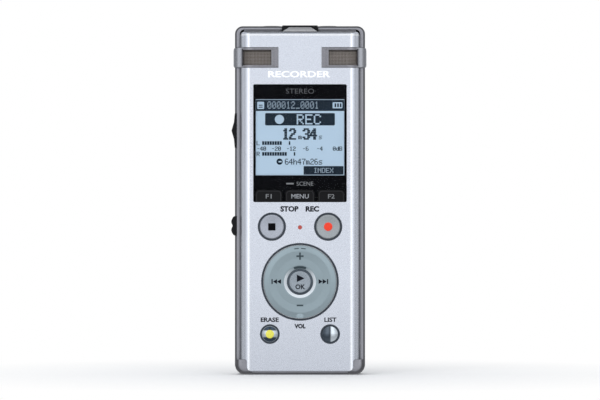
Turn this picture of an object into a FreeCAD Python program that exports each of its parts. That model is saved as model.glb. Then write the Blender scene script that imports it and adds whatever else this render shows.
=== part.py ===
"""Handheld voice recorder, as an assembly of separate pieces.

Frame: millimetres, the recorder stands on its bottom end. +Z runs up towards the microphones, the front face with the
display looks along -Y, and +X is to the right of somebody looking at the front. The origin is on the bottom face, in
the middle of the width and of the body's depth. Each function returns one piece, and PIECES at the end names them.
"""

import FreeCAD
import Part
import math
import os

V = FreeCAD.Vector

# ---------------------------------------------------------------- overall size
HEIGHT = 106.0
WIDTH = 39.6
DEPTH = 14.4
HALF_W = WIDTH / 2
FRONT = -DEPTH / 2
BACK = DEPTH / 2
GAP = 0.05  # assembly clearance between pieces that sit next to each other
TRAVEL = 0.3  # how far a key goes in

# ---------------------------------------------------------------- front cover
COVER_HALF_W = 18.2
COVER_WALL = 0.8
COVER_INSIDE = FRONT + COVER_WALL
COVER_EDGE_R = 2.9  # rounding of the long edges
COVER_Z = (1.1, 104.2)
COVER_BACK = -3.4
COVER_TOP_R = 1.4  # corners
COVER_LOW_R = 1.6
COVER_TOP_BEVEL = 0.55
COVER_LOW_BEVEL = 0.25
PAD_CUT_X = 16.15  # beyond this the bottom corners of the cover are cut away
PAD_CUT_Z = 4.7

# ---------------------------------------------------------------- middle frame
FRAME_FRONT = -4.4
FRAME_BACK = 3.5
FRAME_INSIDE_X = COVER_HALF_W + 0.15
FRAME_INSIDE_Z = (0.95, 105.0)
FRAME_TOP_R = 2.4
FRAME_BOTTOM_R = 3.2
FRAME_INSIDE_TOP_R = 1.5
FRAME_INSIDE_LOW_R = 1.9
FRAME_EDGE_R = 0.9  # rounding of the front edge
PAD_EDGE_R = 1.9  # rounding of the corner pads
BOSS_R = 2.0
SCREW_HOLE_R = 0.82

# ---------------------------------------------------------------- display window
WINDOW_HALF_W = 14.2
WINDOW_Z = (52.45, 88.25)
LCD_HALF_W = 13.45
LCD_Z = (60.6, 83.7)
F_KEY_TOP = 56.1
F_KEYS = {"f1": (-13.5, -5.5), "menu": (-4.4, 4.4), "f2": (5.5, 13.5)}

# ---------------------------------------------------------------- keys: centre x, centre z, hole radius in the cover
STOP = (-8.55, 45.0, 4.3)
REC = (8.55, 45.0, 4.3)
NAV = (0.0, 28.25, 11.8)
ERASE = (-9.15, 12.4, 3.0)
LIST = (9.15, 12.4, 3.0)
LAMP = (0.0, 44.8, 0.65)
NAV_PIVOT_Y = -6.175
BEZEL_FRONT = FRONT + 0.15
BEZEL_BACK = -6.62
FLANGE_FRONT = -6.5
FLANGE_BACK = -6.1
MAT_FRONT = -5.75
MAT_BACK = -5.5
KEY_BOARD_Y = (-5.3, -4.7)
MAIN_BOARD_Y = (-3.9, -3.1)

# ---------------------------------------------------------------- microphones
MIC_Z = (93.3, 99.45)
MIC_INNER_X = 6.6
MIC_WINDOW_X = 8.7
MIC_POST_X = 17.4  # the front window ends here
MIC_POST_Y = -2.5  # the side window starts here
MIC_BAR = 0.75
MIC_TURN = (14.4, -1.55)  # centre of the guard's turn round the corner
MIC_GUARD_R = 5.9
MIC_GUARD_THICK = 0.9
MIC_GRILLE_R = 4.7
MIC_GRILLE_THICK = 0.3
MIC_SIDE_END = 1.6
MIC_STEP = 0.3  # depth and width of the ledge round the windows
MIC_END_STEP = 0.9  # width of the ledge at the inner end
MIC_EDGE_R = 0.3  # rounding of the guard's long edges
MIC_CORNER_R = 0.9  # its outer corners, seen from the front
MIC_CAPSULE_R = 2.0

# ---------------------------------------------------------------- top end
JACK_X = 8.6
JACK_Y = 0.4
JACK_BORE_R = 1.8
JACK_COLLAR_R = 2.6
JACK_Z = (92.0, 104.3)
CENTRE_HALF_W = 5.45
CENTRE_FRONT = -5.3

# ---------------------------------------------------------------- back of the recorder
REAR_HALF_W = 19.5
REAR_Z = (0.0, 105.8)
REAR_SKIN = 1.1
REAR_CORNER_R = 3.0
REAR_EDGE_R = 2.3
SCREW_SEAT_R = 1.6
SOUND_HOLE_R = 0.5
SOUND_HOLE_PITCH = 2.0
LEDGE_FRONT = 5.0
BATTERY_R = 5.25
BATTERY_Y = 0.85
BATTERY_Z = (8.2, 52.7)
LID_HALF_W = 11.0
LID_Z = (2.7, 56.9)
LID_FRONT = 6.1
LID_PIN = (6.65, 3.25)  # y, z
LID_PIN_R = 0.3
STAND_HALF_W = 9.0
STAND_Z = (61.0, 79.6)
STAND_Y = (6.05, 7.15)
STAND_PIN_R = 0.3
SPEAKER_Z = 90.0
SPEAKER_R = 7.6
STRAP_AT = (6.1, 1.2)  # y, z of the strap bar
STRAP_X = (12.75, 17.65)
STRAP_R = 0.45
SCREWS = [(-15.3, 7.5), (15.3, 7.5), (-15.3, 101.0), (15.3, 101.0)]

# ---------------------------------------------------------------- controls and sockets on the sides
USB_DOOR_Z = (68.8, 79.6)
USB_DOOR_Y = (-4.0, 1.6)
USB_RIDGE = ((-5.25, 0.05), (-2.55, 0.3), (-0.15, 1.0), (0.15, 1.0), (2.55, 0.3), (5.25, 0.05))  # z, height
CARD_DOOR_Z = (65.6, 79.6)
CARD_DOOR_Y = (-3.5, 1.4)
USB_MOUTH = ((-3.15, -0.35), (70.1, 78.3))  # y and z of the openings behind the side covers
CARD_MOUTH = ((-3.2, -1.6), (66.6, 78.6))
DOOR_THICK = 1.0
DOOR_PIN_R = 0.25
SWITCH_Z = 45.25
SWITCH_HALF = 2.95
SWITCH_TRAVEL = 1.5
SWITCH_Y = (-2.2, 1.2)
SWITCH_RIBS = ((-2.95, 0.15), (-2.7, 0.5), (-2.2, 0.85), (-1.5, 1.1), (-0.95, 1.1), (-0.4, 0.85), (0.0, 0.72),
               (0.4, 0.85), (0.95, 1.1), (1.5, 1.1), (2.2, 0.85), (2.7, 0.5), (2.95, 0.15))  # z, height
SWITCH_SLOT_Y = (-1.2, -0.2)
STEM_HALF = 0.9
LIP_X = -19.25  # the switch knob and the socket cover wrap round the frame's front edge as far as this
LIP_FRONT = FRAME_FRONT - 0.08


# ================================================================ shape helpers
def box(x, y, z):
    """A block between the two values of each pair."""
    return Part.makeBox(x[1] - x[0], y[1] - y[0], z[1] - z[0], V(x[0], y[0], z[0]))


def rod_x(y, z, r, x):
    return Part.makeCylinder(r, x[1] - x[0], V(x[0], y, z), V(1, 0, 0))


def rod_y(x, z, r, y):
    return Part.makeCylinder(r, y[1] - y[0], V(x, y[0], z), V(0, 1, 0))


def rod_z(x, y, r, z):
    return Part.makeCylinder(r, z[1] - z[0], V(x, y, z[0]), V(0, 0, 1))


def ring_y(x, z, r_in, r_out, y):
    return rod_y(x, z, r_out, y).cut(rod_y(x, z, r_in, (y[0] - 1, y[1] + 1)))


def plate(x, z, y, r_low, r_high):
    """A plate in the XZ plane: r_low rounds the bottom two corners, r_high the top two, and zero leaves a point."""
    x0, x1 = x
    z0, z1 = z
    corners = [
        (x1 - r_low, z0 + r_low, r_low, -90),
        (x1 - r_high, z1 - r_high, r_high, 0),
        (x0 + r_high, z1 - r_high, r_high, 90),
        (x0 + r_low, z0 + r_low, r_low, 180),
    ]

    def on_corner(corner, part):
        cx, cz, r, start = corner
        angle = math.radians(start + part * 90)
        return V(cx + r * math.cos(angle), y[0], cz + r * math.sin(angle))

    edges = []
    for corner, following in zip(corners, corners[1:] + corners[:1]):
        if corner[2]:
            edges.append(Part.Arc(*[on_corner(corner, part) for part in (0, 0.5, 1)]).toShape())
        edges.append(Part.makeLine(on_corner(corner, 1), on_corner(following, 0)))
    return Part.Face(Part.Wire(edges)).extrude(V(0, y[1] - y[0], 0))


def prism(points, direction):
    """A closed outline of points, pulled along a direction."""
    return Part.Face(Part.makePolygon(points + points[:1])).extrude(direction)


def turned(x, z, profile):
    """Turns (radius, y) points into a solid round the axis that runs along Y through x, z."""
    points = [V(x + r, y, z) for r, y in profile]
    outline = Part.Face(Part.makePolygon(points + points[:1]))
    return outline.revolve(V(x, 0, z), V(0, 1, 0), 360)


def joined(shapes):
    whole = shapes[0]
    for extra in shapes[1:]:
        whole = whole.fuse(extra)
    return whole.removeSplitter()


def cut_all(shape, tools):
    for tool in tools:
        shape = shape.cut(tool)
    return shape


def group(shapes):
    """Several separate solids kept as one piece."""
    solids = []
    for shape in shapes:
        solids.extend(shape.Solids)
    return Part.makeCompound(solids)


def mirrored(shape):
    """The same shape on the other side of the middle plane."""
    return shape.mirror(V(0, 0, 0), V(1, 0, 0))


def rounded(shape, radius, wanted):
    """Rounds the edges for which wanted(middle point, edge) is true."""
    picked = [e for e in shape.Edges if wanted(e.CenterOfMass, e)]
    return shape.makeFillet(radius, picked)


def on_plane_y(y):
    """True for an edge that lies wholly at this y."""

    def wanted(_, edge):
        return all(abs(v.Point.y - y) < 1e-4 for v in edge.Vertexes) and abs(edge.BoundBox.YLength) < 1e-3

    return wanted


# ================================================================ microphone outlines, on the right side
def mic_path_region(radius, y_end):
    """What lies inside the guard's turn at this radius: flat in front, round the corner, then down the side."""
    cx, cy = MIC_TURN
    front = cy - radius
    side = cx + radius
    diagonal = radius * math.sqrt(0.5)
    arc = Part.Arc(V(cx, front, 0), V(cx + diagonal, cy - diagonal, 0), V(side, cy, 0)).toShape()
    points = [V(side, cy, 0), V(side, y_end, 0), V(0, y_end, 0), V(0, front, 0), V(cx, front, 0)]
    lines = [Part.makeLine(a, b) for a, b in zip(points, points[1:])]
    return Part.Face(Part.Wire([arc] + lines))


def mic_band(r_out, r_in, inner_x, y_end, z):
    """A band of even thickness that follows the guard's turn."""
    height = V(0, 0, z[1] - z[0])
    outside = mic_path_region(r_out, y_end).extrude(height)
    inside = mic_path_region(r_in, y_end + 1).extrude(height)
    band = outside.cut(inside)
    band.translate(V(0, 0, z[0]))
    return band.common(box((inner_x, 30), (-20, 20), (z[0] - 1, z[1] + 1)))


def mic_pocket():
    """The room that a microphone guard and its mesh take out of the front cover and the frame."""
    z = (MIC_Z[0] - GAP, MIC_Z[1] + GAP)
    r_in = MIC_GRILLE_R - MIC_GRILLE_THICK - 0.1
    return mic_band(MIC_GUARD_R + 3, r_in, MIC_INNER_X - GAP, MIC_SIDE_END + GAP, z)


def mic_guard():
    """A bright frame round each microphone: a window in front, a post at the corner and a window in the side."""
    band = mic_band(MIC_GUARD_R, MIC_GUARD_R - MIC_GUARD_THICK, MIC_INNER_X, MIC_SIDE_END, MIC_Z)
    outer = MIC_TURN[0] + MIC_GUARD_R - MIC_GUARD_THICK / 2

    def long_outer_edge(middle, edge):
        level = edge.BoundBox.ZLength < 1e-3
        outside = max(v.Point.x for v in edge.Vertexes) > outer or middle.y < MIC_TURN[1] - MIC_GUARD_R + 0.01
        return level and outside and edge.Length > 2

    band = rounded(band, MIC_EDGE_R, long_outer_edge)
    band = band.common(plate((0, MIC_TURN[0] + MIC_GUARD_R), MIC_Z, (-20, 20), MIC_CORNER_R, MIC_CORNER_R))
    window_z = (MIC_Z[0] + MIC_BAR, MIC_Z[1] - MIC_BAR)
    step_z = (window_z[0] - MIC_STEP, window_z[1] + MIC_STEP)
    front_x = (MIC_WINDOW_X, MIC_POST_X)
    side_y = (MIC_POST_Y, MIC_SIDE_END - MIC_BAR)
    front_y = (-20, -3.5)
    side_x = (16, 30)
    windows = [box(front_x, front_y, window_z), box(side_x, side_y, window_z)]
    skin = mic_band(MIC_GUARD_R + 1, MIC_GUARD_R - MIC_STEP, 0, MIC_SIDE_END + 1, step_z)
    front_step = box((front_x[0] - MIC_END_STEP, front_x[1] + MIC_STEP), front_y, step_z)
    side_step = box(side_x, (side_y[0] - MIC_STEP, side_y[1] + MIC_STEP), step_z)
    return cut_all(band, windows + [skin.common(front_step), skin.common(side_step)])


def mic_grille():
    z = (MIC_Z[0] + 0.15, MIC_Z[1] - 0.15)
    r_in = MIC_GRILLE_R - MIC_GRILLE_THICK
    return mic_band(MIC_GRILLE_R, r_in, MIC_INNER_X + 0.3, MIC_SIDE_END - 0.3, z)


MIC_CENTRE = V(14.6, -3.5, (MIC_Z[0] + MIC_Z[1]) / 2)
MIC_AIM = V(1, -1, 0).normalize()


def mic_round(radius, length):
    start = MIC_CENTRE - MIC_AIM * (length / 2)
    return Part.makeCylinder(radius, length, start, MIC_AIM)


def mic_capsule():
    port = Part.makeCylinder(0.5, 0.6, MIC_CENTRE + MIC_AIM * 0.6, MIC_AIM)
    return mic_round(MIC_CAPSULE_R, 2.2).cut(port)


def mic_boot():
    return mic_round(MIC_CAPSULE_R + 0.6, 1.7).cut(mic_round(MIC_CAPSULE_R + 0.03, 4))


# ================================================================ outer shells
def cover_tab(room, top):
    """The outline of the cover between the corner pads, with some room round it."""
    x = (-PAD_CUT_X - room, PAD_CUT_X + room)
    return plate(x, (COVER_Z[0] - room, top), (-20, 10), 1.5, 0.2)


def front_cover():
    """The silver front: a thin tray with rounded long edges, and an opening for each control."""

    def tray_profile(inset, y_back):
        half = COVER_HALF_W - inset
        front = FRONT + inset
        r = COVER_EDGE_R - inset
        cx = half - r
        cy = front + r
        d = r * math.sqrt(0.5)
        right = Part.Arc(V(cx, front, 0), V(cx + d, cy - d, 0), V(half, cy, 0)).toShape()
        left = Part.Arc(V(-half, cy, 0), V(-cx - d, cy - d, 0), V(-cx, front, 0)).toShape()
        lines = [
            Part.makeLine(V(-cx, front, 0), V(cx, front, 0)),
            Part.makeLine(V(half, cy, 0), V(half, y_back, 0)),
            Part.makeLine(V(half, y_back, 0), V(-half, y_back, 0)),
            Part.makeLine(V(-half, y_back, 0), V(-half, cy, 0)),
        ]
        return Part.Face(Part.Wire([left, lines[0], right, lines[1], lines[2], lines[3]]))

    def tray(inset, y_back, z):
        solid = tray_profile(inset, y_back).extrude(V(0, 0, z[1] - z[0]))
        solid.translate(V(0, 0, z[0]))
        return solid

    z0, z1 = COVER_Z
    cover = tray(0, COVER_BACK, COVER_Z)
    outline = plate((-COVER_HALF_W, COVER_HALF_W), COVER_Z, (FRONT - 1, 0), COVER_LOW_R, COVER_TOP_R)
    cover = cover.common(outline)
    bevel = COVER_TOP_BEVEL
    top_wedge = prism(
        [V(-20, FRONT - 1, z1 + 1), V(-20, FRONT + bevel, z1 + 1), V(-20, FRONT + bevel, z1),
         V(-20, FRONT, z1 - bevel), V(-20, FRONT - 1, z1 - bevel)],
        V(40, 0, 0),
    )
    small = COVER_LOW_BEVEL
    low_wedge = prism(
        [V(-20, FRONT - 1, z0 - 1), V(-20, FRONT + small, z0 - 1), V(-20, FRONT + small, z0),
         V(-20, FRONT, z0 + small), V(-20, FRONT - 1, z0 + small)],
        V(40, 0, 0),
    )
    hollow = tray(COVER_WALL, COVER_BACK + 1, (z0 + COVER_WALL, z1 - COVER_WALL))
    cover = cut_all(cover, [top_wedge, low_wedge, hollow])

    for side in (-1, 1):
        x = sorted((side * PAD_CUT_X, side * 30))
        corner = plate(x, (-10, PAD_CUT_Z), (-20, 10), 0.2, 0.7)
        cover = cover.cut(corner)
    low = box((-30, 30), (-20, 10), (-5, PAD_CUT_Z - 1))
    cover = cover.cut(low.cut(cover_tab(0, 30)))

    x_window = (-WINDOW_HALF_W, WINDOW_HALF_W)
    openings = [plate(x_window, WINDOW_Z, (-10, -6), 0.5, 0.5)]
    openings += [rod_y(x, z, r, (-10, -6)) for x, z, r in (STOP, REC, NAV, ERASE, LIST, LAMP)]
    openings += [mic_pocket(), mirrored(mic_pocket())]
    openings += [box((-CENTRE_HALF_W - GAP, CENTRE_HALF_W + GAP), (CENTRE_FRONT - GAP, 0), (102, 105))]
    return cut_all(cover, openings)


def frame_outline(y, inset=0.0):
    x = (-HALF_W + inset, HALF_W - inset)
    z = (inset, HEIGHT - inset)
    return plate(x, z, y, FRAME_BOTTOM_R - inset, FRAME_TOP_R - inset)


def mid_frame():
    """The grey ring between the two shells, with corner pads that come forward at the bottom."""
    ring = rounded(frame_outline((FRAME_FRONT, FRAME_BACK)), FRAME_EDGE_R, on_plane_y(FRAME_FRONT))
    pads_front = FRONT + 0.75
    pad_body = rounded(frame_outline((pads_front, FRAME_BACK)), PAD_EDGE_R, on_plane_y(pads_front))
    pad_x = PAD_CUT_X + GAP
    pad_room = joined([
        plate(sorted((side * pad_x, side * 30)), (-5, PAD_CUT_Z - GAP), (-20, 3), 0.2, 0.7).fuse(
            box(sorted((side * (pad_x - 1.6), side * (pad_x + 1))), (-20, 3), (-5, 3))) for side in (-1, 1)
    ])
    pads = pad_body.common(pad_room).cut(cover_tab(GAP, 30))
    inside_x = (-FRAME_INSIDE_X, FRAME_INSIDE_X)
    inside_r = (FRAME_INSIDE_LOW_R, FRAME_INSIDE_TOP_R)
    opening = plate(inside_x, FRAME_INSIDE_Z, (-20, 20), *inside_r)
    pad_opening = plate(inside_x, FRAME_INSIDE_Z, (FRAME_FRONT, 20), *inside_r)
    ring = ring.cut(opening)
    pads = pads.cut(pad_opening)
    top_wall = box((-17, 17), (COVER_BACK + 0.1, FRAME_BACK), (104.4, FRAME_INSIDE_Z[1] + 0.2))
    bosses = []
    for x, z in SCREWS:
        wall = HALF_W - 0.7 if x > 0 else -(HALF_W - 0.7)
        bosses.append(rod_y(x, z, BOSS_R, (-1.0, FRAME_BACK)))
        bosses.append(box(sorted((x, wall)), (-1.0, FRAME_BACK - 0.3), (z - 0.9, z + 0.9)))
    ledges = []
    for side in (-1, 1):
        reach = sorted((side * 14.6, side * (HALF_W - 0.7)))
        ledges += [box(reach, (MAIN_BOARD_Y[1] + 0.02, -2.0), (z, z + 1.6)) for z in (58.0, 84.0)]
        step = sorted((side * 14.6, side * (COVER_HALF_W - COVER_WALL - 0.1)))
        for z in (9.0, 51.0):
            ledges.append(box(step, (KEY_BOARD_Y[1] + 0.02, -2.4), (z, z + 1.6)))
            ledges.append(box(reach, (COVER_BACK + GAP, -2.4), (z, z + 1.6)))
    whole = joined([ring, pads, top_wall] + bosses + ledges)

    cuts = [rod_y(x, z, SCREW_HOLE_R, (-0.9, 10)) for x, z in SCREWS]
    cuts += [mic_pocket(), mirrored(mic_pocket())]
    cuts += [box((-CENTRE_HALF_W - GAP, CENTRE_HALF_W + GAP), (-10, 1.3), (102, 110))]
    cuts += [rod_z(s * JACK_X, JACK_Y, JACK_COLLAR_R + GAP, (104, 110)) for s in (-1, 1)]
    cuts += [door_recess(USB_DOOR_Y, USB_DOOR_Z, -1), door_recess(CARD_DOOR_Y, CARD_DOOR_Z, 1)]
    cuts += [box((-20, -18), *USB_MOUTH), box((18, 20), *CARD_MOUTH)]
    switch_room = SWITCH_HALF + SWITCH_TRAVEL + 0.15
    cuts += [box((-21, -19.15), (SWITCH_Y[0] - GAP, SWITCH_Y[1] + GAP),
                 (SWITCH_Z - switch_room, SWITCH_Z + switch_room))]
    stem_room = STEM_HALF + SWITCH_TRAVEL + 0.15
    cuts += [box((-21, -18), (SWITCH_SLOT_Y[0] - GAP, SWITCH_SLOT_Y[1] + GAP),
                 (SWITCH_Z - stem_room, SWITCH_Z + stem_room))]
    return cut_all(whole, cuts)


def rear_cover():
    """The back shell: openings for battery, stand and speaker, and holes for the case screws."""

    def rear_block(front):
        return plate((-REAR_HALF_W, REAR_HALF_W), REAR_Z, (front, BACK), REAR_CORNER_R, REAR_CORNER_R)

    shell = rounded(rear_block(FRAME_BACK + GAP), REAR_EDGE_R, on_plane_y(BACK))
    inner_x = (-REAR_HALF_W + REAR_SKIN, REAR_HALF_W - REAR_SKIN)
    inner_z = (REAR_Z[0] + REAR_SKIN, REAR_Z[1] - REAR_SKIN)
    shell = shell.cut(plate(inner_x, inner_z, (0, BACK - REAR_SKIN), 2.0, 2.0))
    pads = [
        box((-12.3, 12.3), (LEDGE_FRONT, BACK - 1.0), (0.6, 58.2)),
        box((-10.4, 10.4), (4.8, BACK - 1.0), (58.2, 81.2)),
    ]
    pads += [rod_y(px, pz, 2.6, (FRAME_BACK + GAP, BACK - 1.0)) for px, pz in SCREWS]
    shell = joined([shell] + pads)
    shell = shell.common(rounded(rear_block(0), REAR_EDGE_R, on_plane_y(BACK)))

    lid_room = plate((-LID_HALF_W - 0.1, LID_HALF_W + 0.1), (LID_Z[0] - GAP, LID_Z[1] + 0.1),
                     (LID_FRONT - GAP, 10), 0.3, 1.3)
    battery_hole = box((-6.9, 6.9), (0, 8), (4.9, 54.9))
    nail_notch = rod_x(BACK + 1.4, LID_Z[1] + 1.4, 2.4, (-4, 4))
    stand_room = plate((-STAND_HALF_W - 0.15, STAND_HALF_W + 0.15), (STAND_Z[0] - 0.15, STAND_Z[1] + 0.15),
                       (STAND_Y[0] - 0.1, 10), 1.6, 0.3)
    foot_notch = rod_x(BACK + 0.9, STAND_Z[0] - 0.6, 2.0, (-4, 4))
    cuts = [lid_room, battery_hole, nail_notch, stand_room, foot_notch]
    cuts += [rod_x(LID_PIN[0], LID_PIN[1], LID_PIN_R + 0.02, (-12, 12))]
    cuts += [rod_x(stand_pin_y(), stand_pin_z(), STAND_PIN_R + 0.02, (-9.9, 9.9))]
    cuts += [rod_y(sx, sz, SOUND_HOLE_R, (5, 8)) for sx, sz in speaker_holes()]
    for px, pz in SCREWS:
        cuts.append(rod_y(px, pz, 0.95, (2, 9)))
        cuts.append(rod_y(px, pz, SCREW_SEAT_R, (BACK - 1.7, 9)))
    strap_notch = box((STRAP_X[0] + 0.65, STRAP_X[1] - 0.65), (4.4, 9), (-1, 2.3))
    bar_room = rod_x(STRAP_AT[0], STRAP_AT[1], STRAP_R + 0.02, (STRAP_X[0] - GAP, STRAP_X[1] + GAP))
    cuts += [strap_notch, bar_room]
    return cut_all(shell, cuts)


def speaker_holes():
    """Centres of the sound holes: a hexagonal pattern of three rings."""
    pitch = SOUND_HOLE_PITCH
    found = []
    for i in range(-3, 4):
        for k in range(-3, 4):
            if abs(i + k) <= 3:
                found.append((pitch * (i + k / 2), SPEAKER_Z + pitch * k * math.sin(math.radians(60))))
    return found


# ================================================================ battery side
def battery_lid():
    """The battery cover. Its lower edge is round, so that it turns on its pin without moving inwards."""
    r = BACK - LID_PIN[0]
    y = (LID_FRONT, BACK)
    body = plate((-LID_HALF_W, LID_HALF_W), (LID_PIN[1], LID_Z[1]), y, 0, 1.2)
    body = rounded(body, 0.25, lambda c, e: on_plane_y(BACK)(c, e) and c.z > LID_PIN[1] + 1)
    barrel = rod_x(LID_PIN[0], LID_PIN[1], r, (-LID_HALF_W, LID_HALF_W))
    lid = joined([body, barrel])
    grip = [rod_x(BACK + 0.22, 50.2 + 0.9 * n, 0.4, (-4.5 + 0.6 * n, 4.5 - 0.6 * n)) for n in range(5)]
    return cut_all(lid, grip + [rod_x(LID_PIN[0], LID_PIN[1], LID_PIN_R + 0.05, (-20, 20))])


def battery():
    z0, z1 = BATTERY_Z
    can = rod_z(0, BATTERY_Y, BATTERY_R, (z0, z1 - 1.0))
    can = can.makeFillet(0.4, [e for e in can.Edges if e.BoundBox.ZLength < 0.01])
    return joined([can, rod_z(0, BATTERY_Y, 1.9, (z1 - 1.1, z1))])


def battery_tray():
    """The open tub that holds the battery, behind the key board."""
    outer = box((-6.6, 6.6), (-4.65, 4.95), (4.6, 55.2))
    inner = box((-5.6, 5.6), (-4.45, 6), (5.2, 54.6))
    tub = outer.cut(inner)
    spring_slot = box((-2.6, 2.6), (-3, 6), (4, 5.3))
    plate_slot = box((-2.6, 2.6), (-3, 6), (54.5, 56))
    return cut_all(tub, [spring_slot.common(box((-1, 1), (-9, 9), (0, 9))), plate_slot])


def battery_spring():
    """The minus contact: a coil that narrows towards the battery."""
    pitch = 0.8
    height = 2.4
    coil = Part.makeHelix(pitch, height, 2.5, -14)
    wire_r = 0.2
    start = coil.Vertexes[0].Point
    circle = Part.Wire(Part.Circle(start, V(0, 1, 0), wire_r).toShape())
    solid = Part.Wire(coil.Edges).makePipeShell([circle], True, False)
    solid.translate(V(0, BATTERY_Y, BATTERY_Z[0] - height - wire_r - 0.05))
    return solid


def battery_plate():
    """The plus contact: a bent strip with a raised dimple."""
    strip = box((-2.5, 2.5), (BATTERY_Y - 3.2, BATTERY_Y + 3.4), (53.2, 53.5))
    dimple = rod_z(0, BATTERY_Y, 1.3, (52.75, 53.3))
    tail = box((-1.2, 1.2), (BATTERY_Y - 3.2, BATTERY_Y - 2.9), (53.3, 56.4))
    return joined([strip, dimple, tail])


# ================================================================ display side
def f_key_notch(x, room):
    return plate((x[0] - room, x[1] + room), (40, F_KEY_TOP + room), (-12, 0), 0.1, 1.3)


def display_window():
    x = (-WINDOW_HALF_W + GAP, WINDOW_HALF_W - GAP)
    z = (WINDOW_Z[0] + GAP, WINDOW_Z[1] - GAP)
    pane = plate(x, z, (FRONT - 0.02, -6.48), 0.45, 0.45)
    return cut_all(pane, [f_key_notch(span, 0.12) for span in F_KEYS.values()])


def window_mask():
    """The black print behind the window, as a thin sheet with the display's opening."""
    x = (-WINDOW_HALF_W + 0.1, WINDOW_HALF_W - 0.1)
    z = (WINDOW_Z[0] + 0.1, WINDOW_Z[1] - 0.1)
    sheet = plate(x, z, (-6.46, -6.36), 0.4, 0.4)
    cuts = [f_key_notch(span, 0.15) for span in F_KEYS.values()]
    cuts.append(box((-LCD_HALF_W, LCD_HALF_W), (-8, 0), LCD_Z))
    return cut_all(sheet, cuts)


def lcd_holder():
    outer = box((-15.4, 15.4), (-6.3, -4.1), (57.4, 87.2))
    pocket = box((-14.25, 14.25), (-6.9, -4.25), (58.5, 86.1))
    back_hole = box((-11, 11), (-5, 0), (62, 82))
    slot = box((-6.2, 6.2), (-5.3, 0), (57, 62.5))
    return cut_all(outer, [pocket, back_hole, slot])


def lcd_panel():
    return box((-14.1, 14.1), (-6.2, -5.2), (58.65, 85.95))


def lcd_backlight():
    return box((-14.1, 14.1), (-5.15, -4.3), (58.65, 85.95))


def lcd_flex():
    """The flat cable from the display, under its lower edge and back to the main board's front."""
    half = 5.5
    thick = 0.12
    front, back = -5.17, MAIN_BOARD_Y[0] - 0.14
    mid_y = (front + back) / 2
    r = (back - front) / 2
    low = 58.0
    outer = rod_x(mid_y, low, r, (-half, half)).common(box((-9, 9), (-9, 0), (50, low)))
    inner = rod_x(mid_y, low, r - thick, (-9, 9))
    turn = outer.cut(inner)
    front_leg = box((-half, half), (front, front + thick), (low, 58.6))
    back_leg = box((-half, half), (back - thick, back), (low, 61.5))
    return joined([turn, front_leg, back_leg])


def f_key(name):
    x = F_KEYS[name]
    cap = plate(x, (WINDOW_Z[0] + 0.15, F_KEY_TOP), (FRONT - 0.2, -6.45), 0.3, 1.2)
    cap = rounded(cap, 0.15, on_plane_y(FRONT - 0.2))
    stem = box((x[0] + 0.3, x[1] - 0.3), (-6.5, -6.2), (WINDOW_Z[0] + 0.3, F_KEY_TOP - 1.3))
    flange = box((x[0] - 0.35, x[1] + 0.35), (-6.33, FLANGE_BACK), (WINDOW_Z[0] - 0.3, F_KEY_TOP + 0.4))
    return joined([cap, stem, flange])


# ================================================================ round keys
def bezel(place, r_in):
    x, z, hole = place
    profile = [(r_in, BEZEL_FRONT + 0.15), (r_in, BEZEL_BACK), (hole - 0.02, BEZEL_BACK),
               (hole - 0.02, BEZEL_FRONT), (r_in + 0.15, BEZEL_FRONT)]
    return turned(x, z, profile)


def round_key(place, r_cap, proud, dish):
    """A flat round key with a soft edge, a shallow dish and a flange that the bezel holds in."""
    x, z, _ = place
    top = FRONT - proud
    edge = 0.22
    profile = [(0, top + dish), (r_cap * 0.45, top + dish * 0.8), (r_cap * 0.75, top + dish * 0.3),
               (r_cap - edge, top), (r_cap - edge * 0.3, top + edge * 0.3), (r_cap, top + edge),
               (r_cap, FLANGE_FRONT), (r_cap + 0.45, FLANGE_FRONT), (r_cap + 0.45, FLANGE_BACK), (0, FLANGE_BACK)]
    return turned(x, z, profile)


def dome_key(place, r_cap, rise):
    """A small round key whose top is part of a sphere."""
    x, z, _ = place
    base = FRONT + 0.08
    sphere_r = (r_cap ** 2 + rise ** 2) / (2 * rise)
    steps = 10
    arc = []
    for n in range(steps + 1):
        r = r_cap * n / steps
        sag = sphere_r - math.sqrt(sphere_r ** 2 - r ** 2)
        arc.append((r, base - rise + sag))
    profile = arc + [(r_cap, FLANGE_FRONT), (r_cap + 0.4, FLANGE_FRONT), (r_cap + 0.4, FLANGE_BACK), (0, FLANGE_BACK)]
    return turned(x, z, profile)


def nav_ring():
    """The four-way ring: an outer bevel, a gently dished face and a bright inner slope round the centre key."""
    x, z, _ = NAV
    profile = [(3.98, -6.9), (3.98, -6.62), (11.05, -6.62), (11.05, -7.12), (10.85, -7.24), (9.55, -7.5),
               (9.3, -7.52), (7.2, -7.4), (5.1, -7.44), (4.85, -7.4)]
    ring = turned(x, z, profile)
    nib = Part.makeSphere(3.0, V(x, -4.75, z - 10.9))
    return joined([ring, nib.common(rod_y(x, z, 11.0, (-8, -6.7)))])


def nav_rocker():
    """A thin gimbal plate under the ring. It rocks up and down on two round stubs that bear behind the cover. The
    ring rocks left and right on the plate's two ridges."""
    x, z, _ = NAV
    sheet = ring_y(x, z, 4.6, 11.4, (-6.3, -6.05))
    stubs = [rod_x(NAV_PIVOT_Y, z, 0.2, sorted((side * 11.2, side * 12.6))) for side in (-1, 1)]
    ridges = []
    for low in (z - 10.8, z + 5.0):
        ridge = rod_z(x, -6.3, 0.3, (low, low + 5.8))
        ridges.append(ridge.common(box((-1, 1), (-6.6, -6.2), (0, 50))))
    return joined([sheet] + stubs + ridges)


def ok_button():
    x, z, _ = NAV
    top = FRONT - 0.28
    profile = [(0, top + 0.06), (1.6, top + 0.05), (2.6, top), (3.1, top), (3.2, top + 0.04), (3.25, top + 0.14),
               (3.25, -6.75), (0, -6.75)]
    return turned(x, z, profile)


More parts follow.
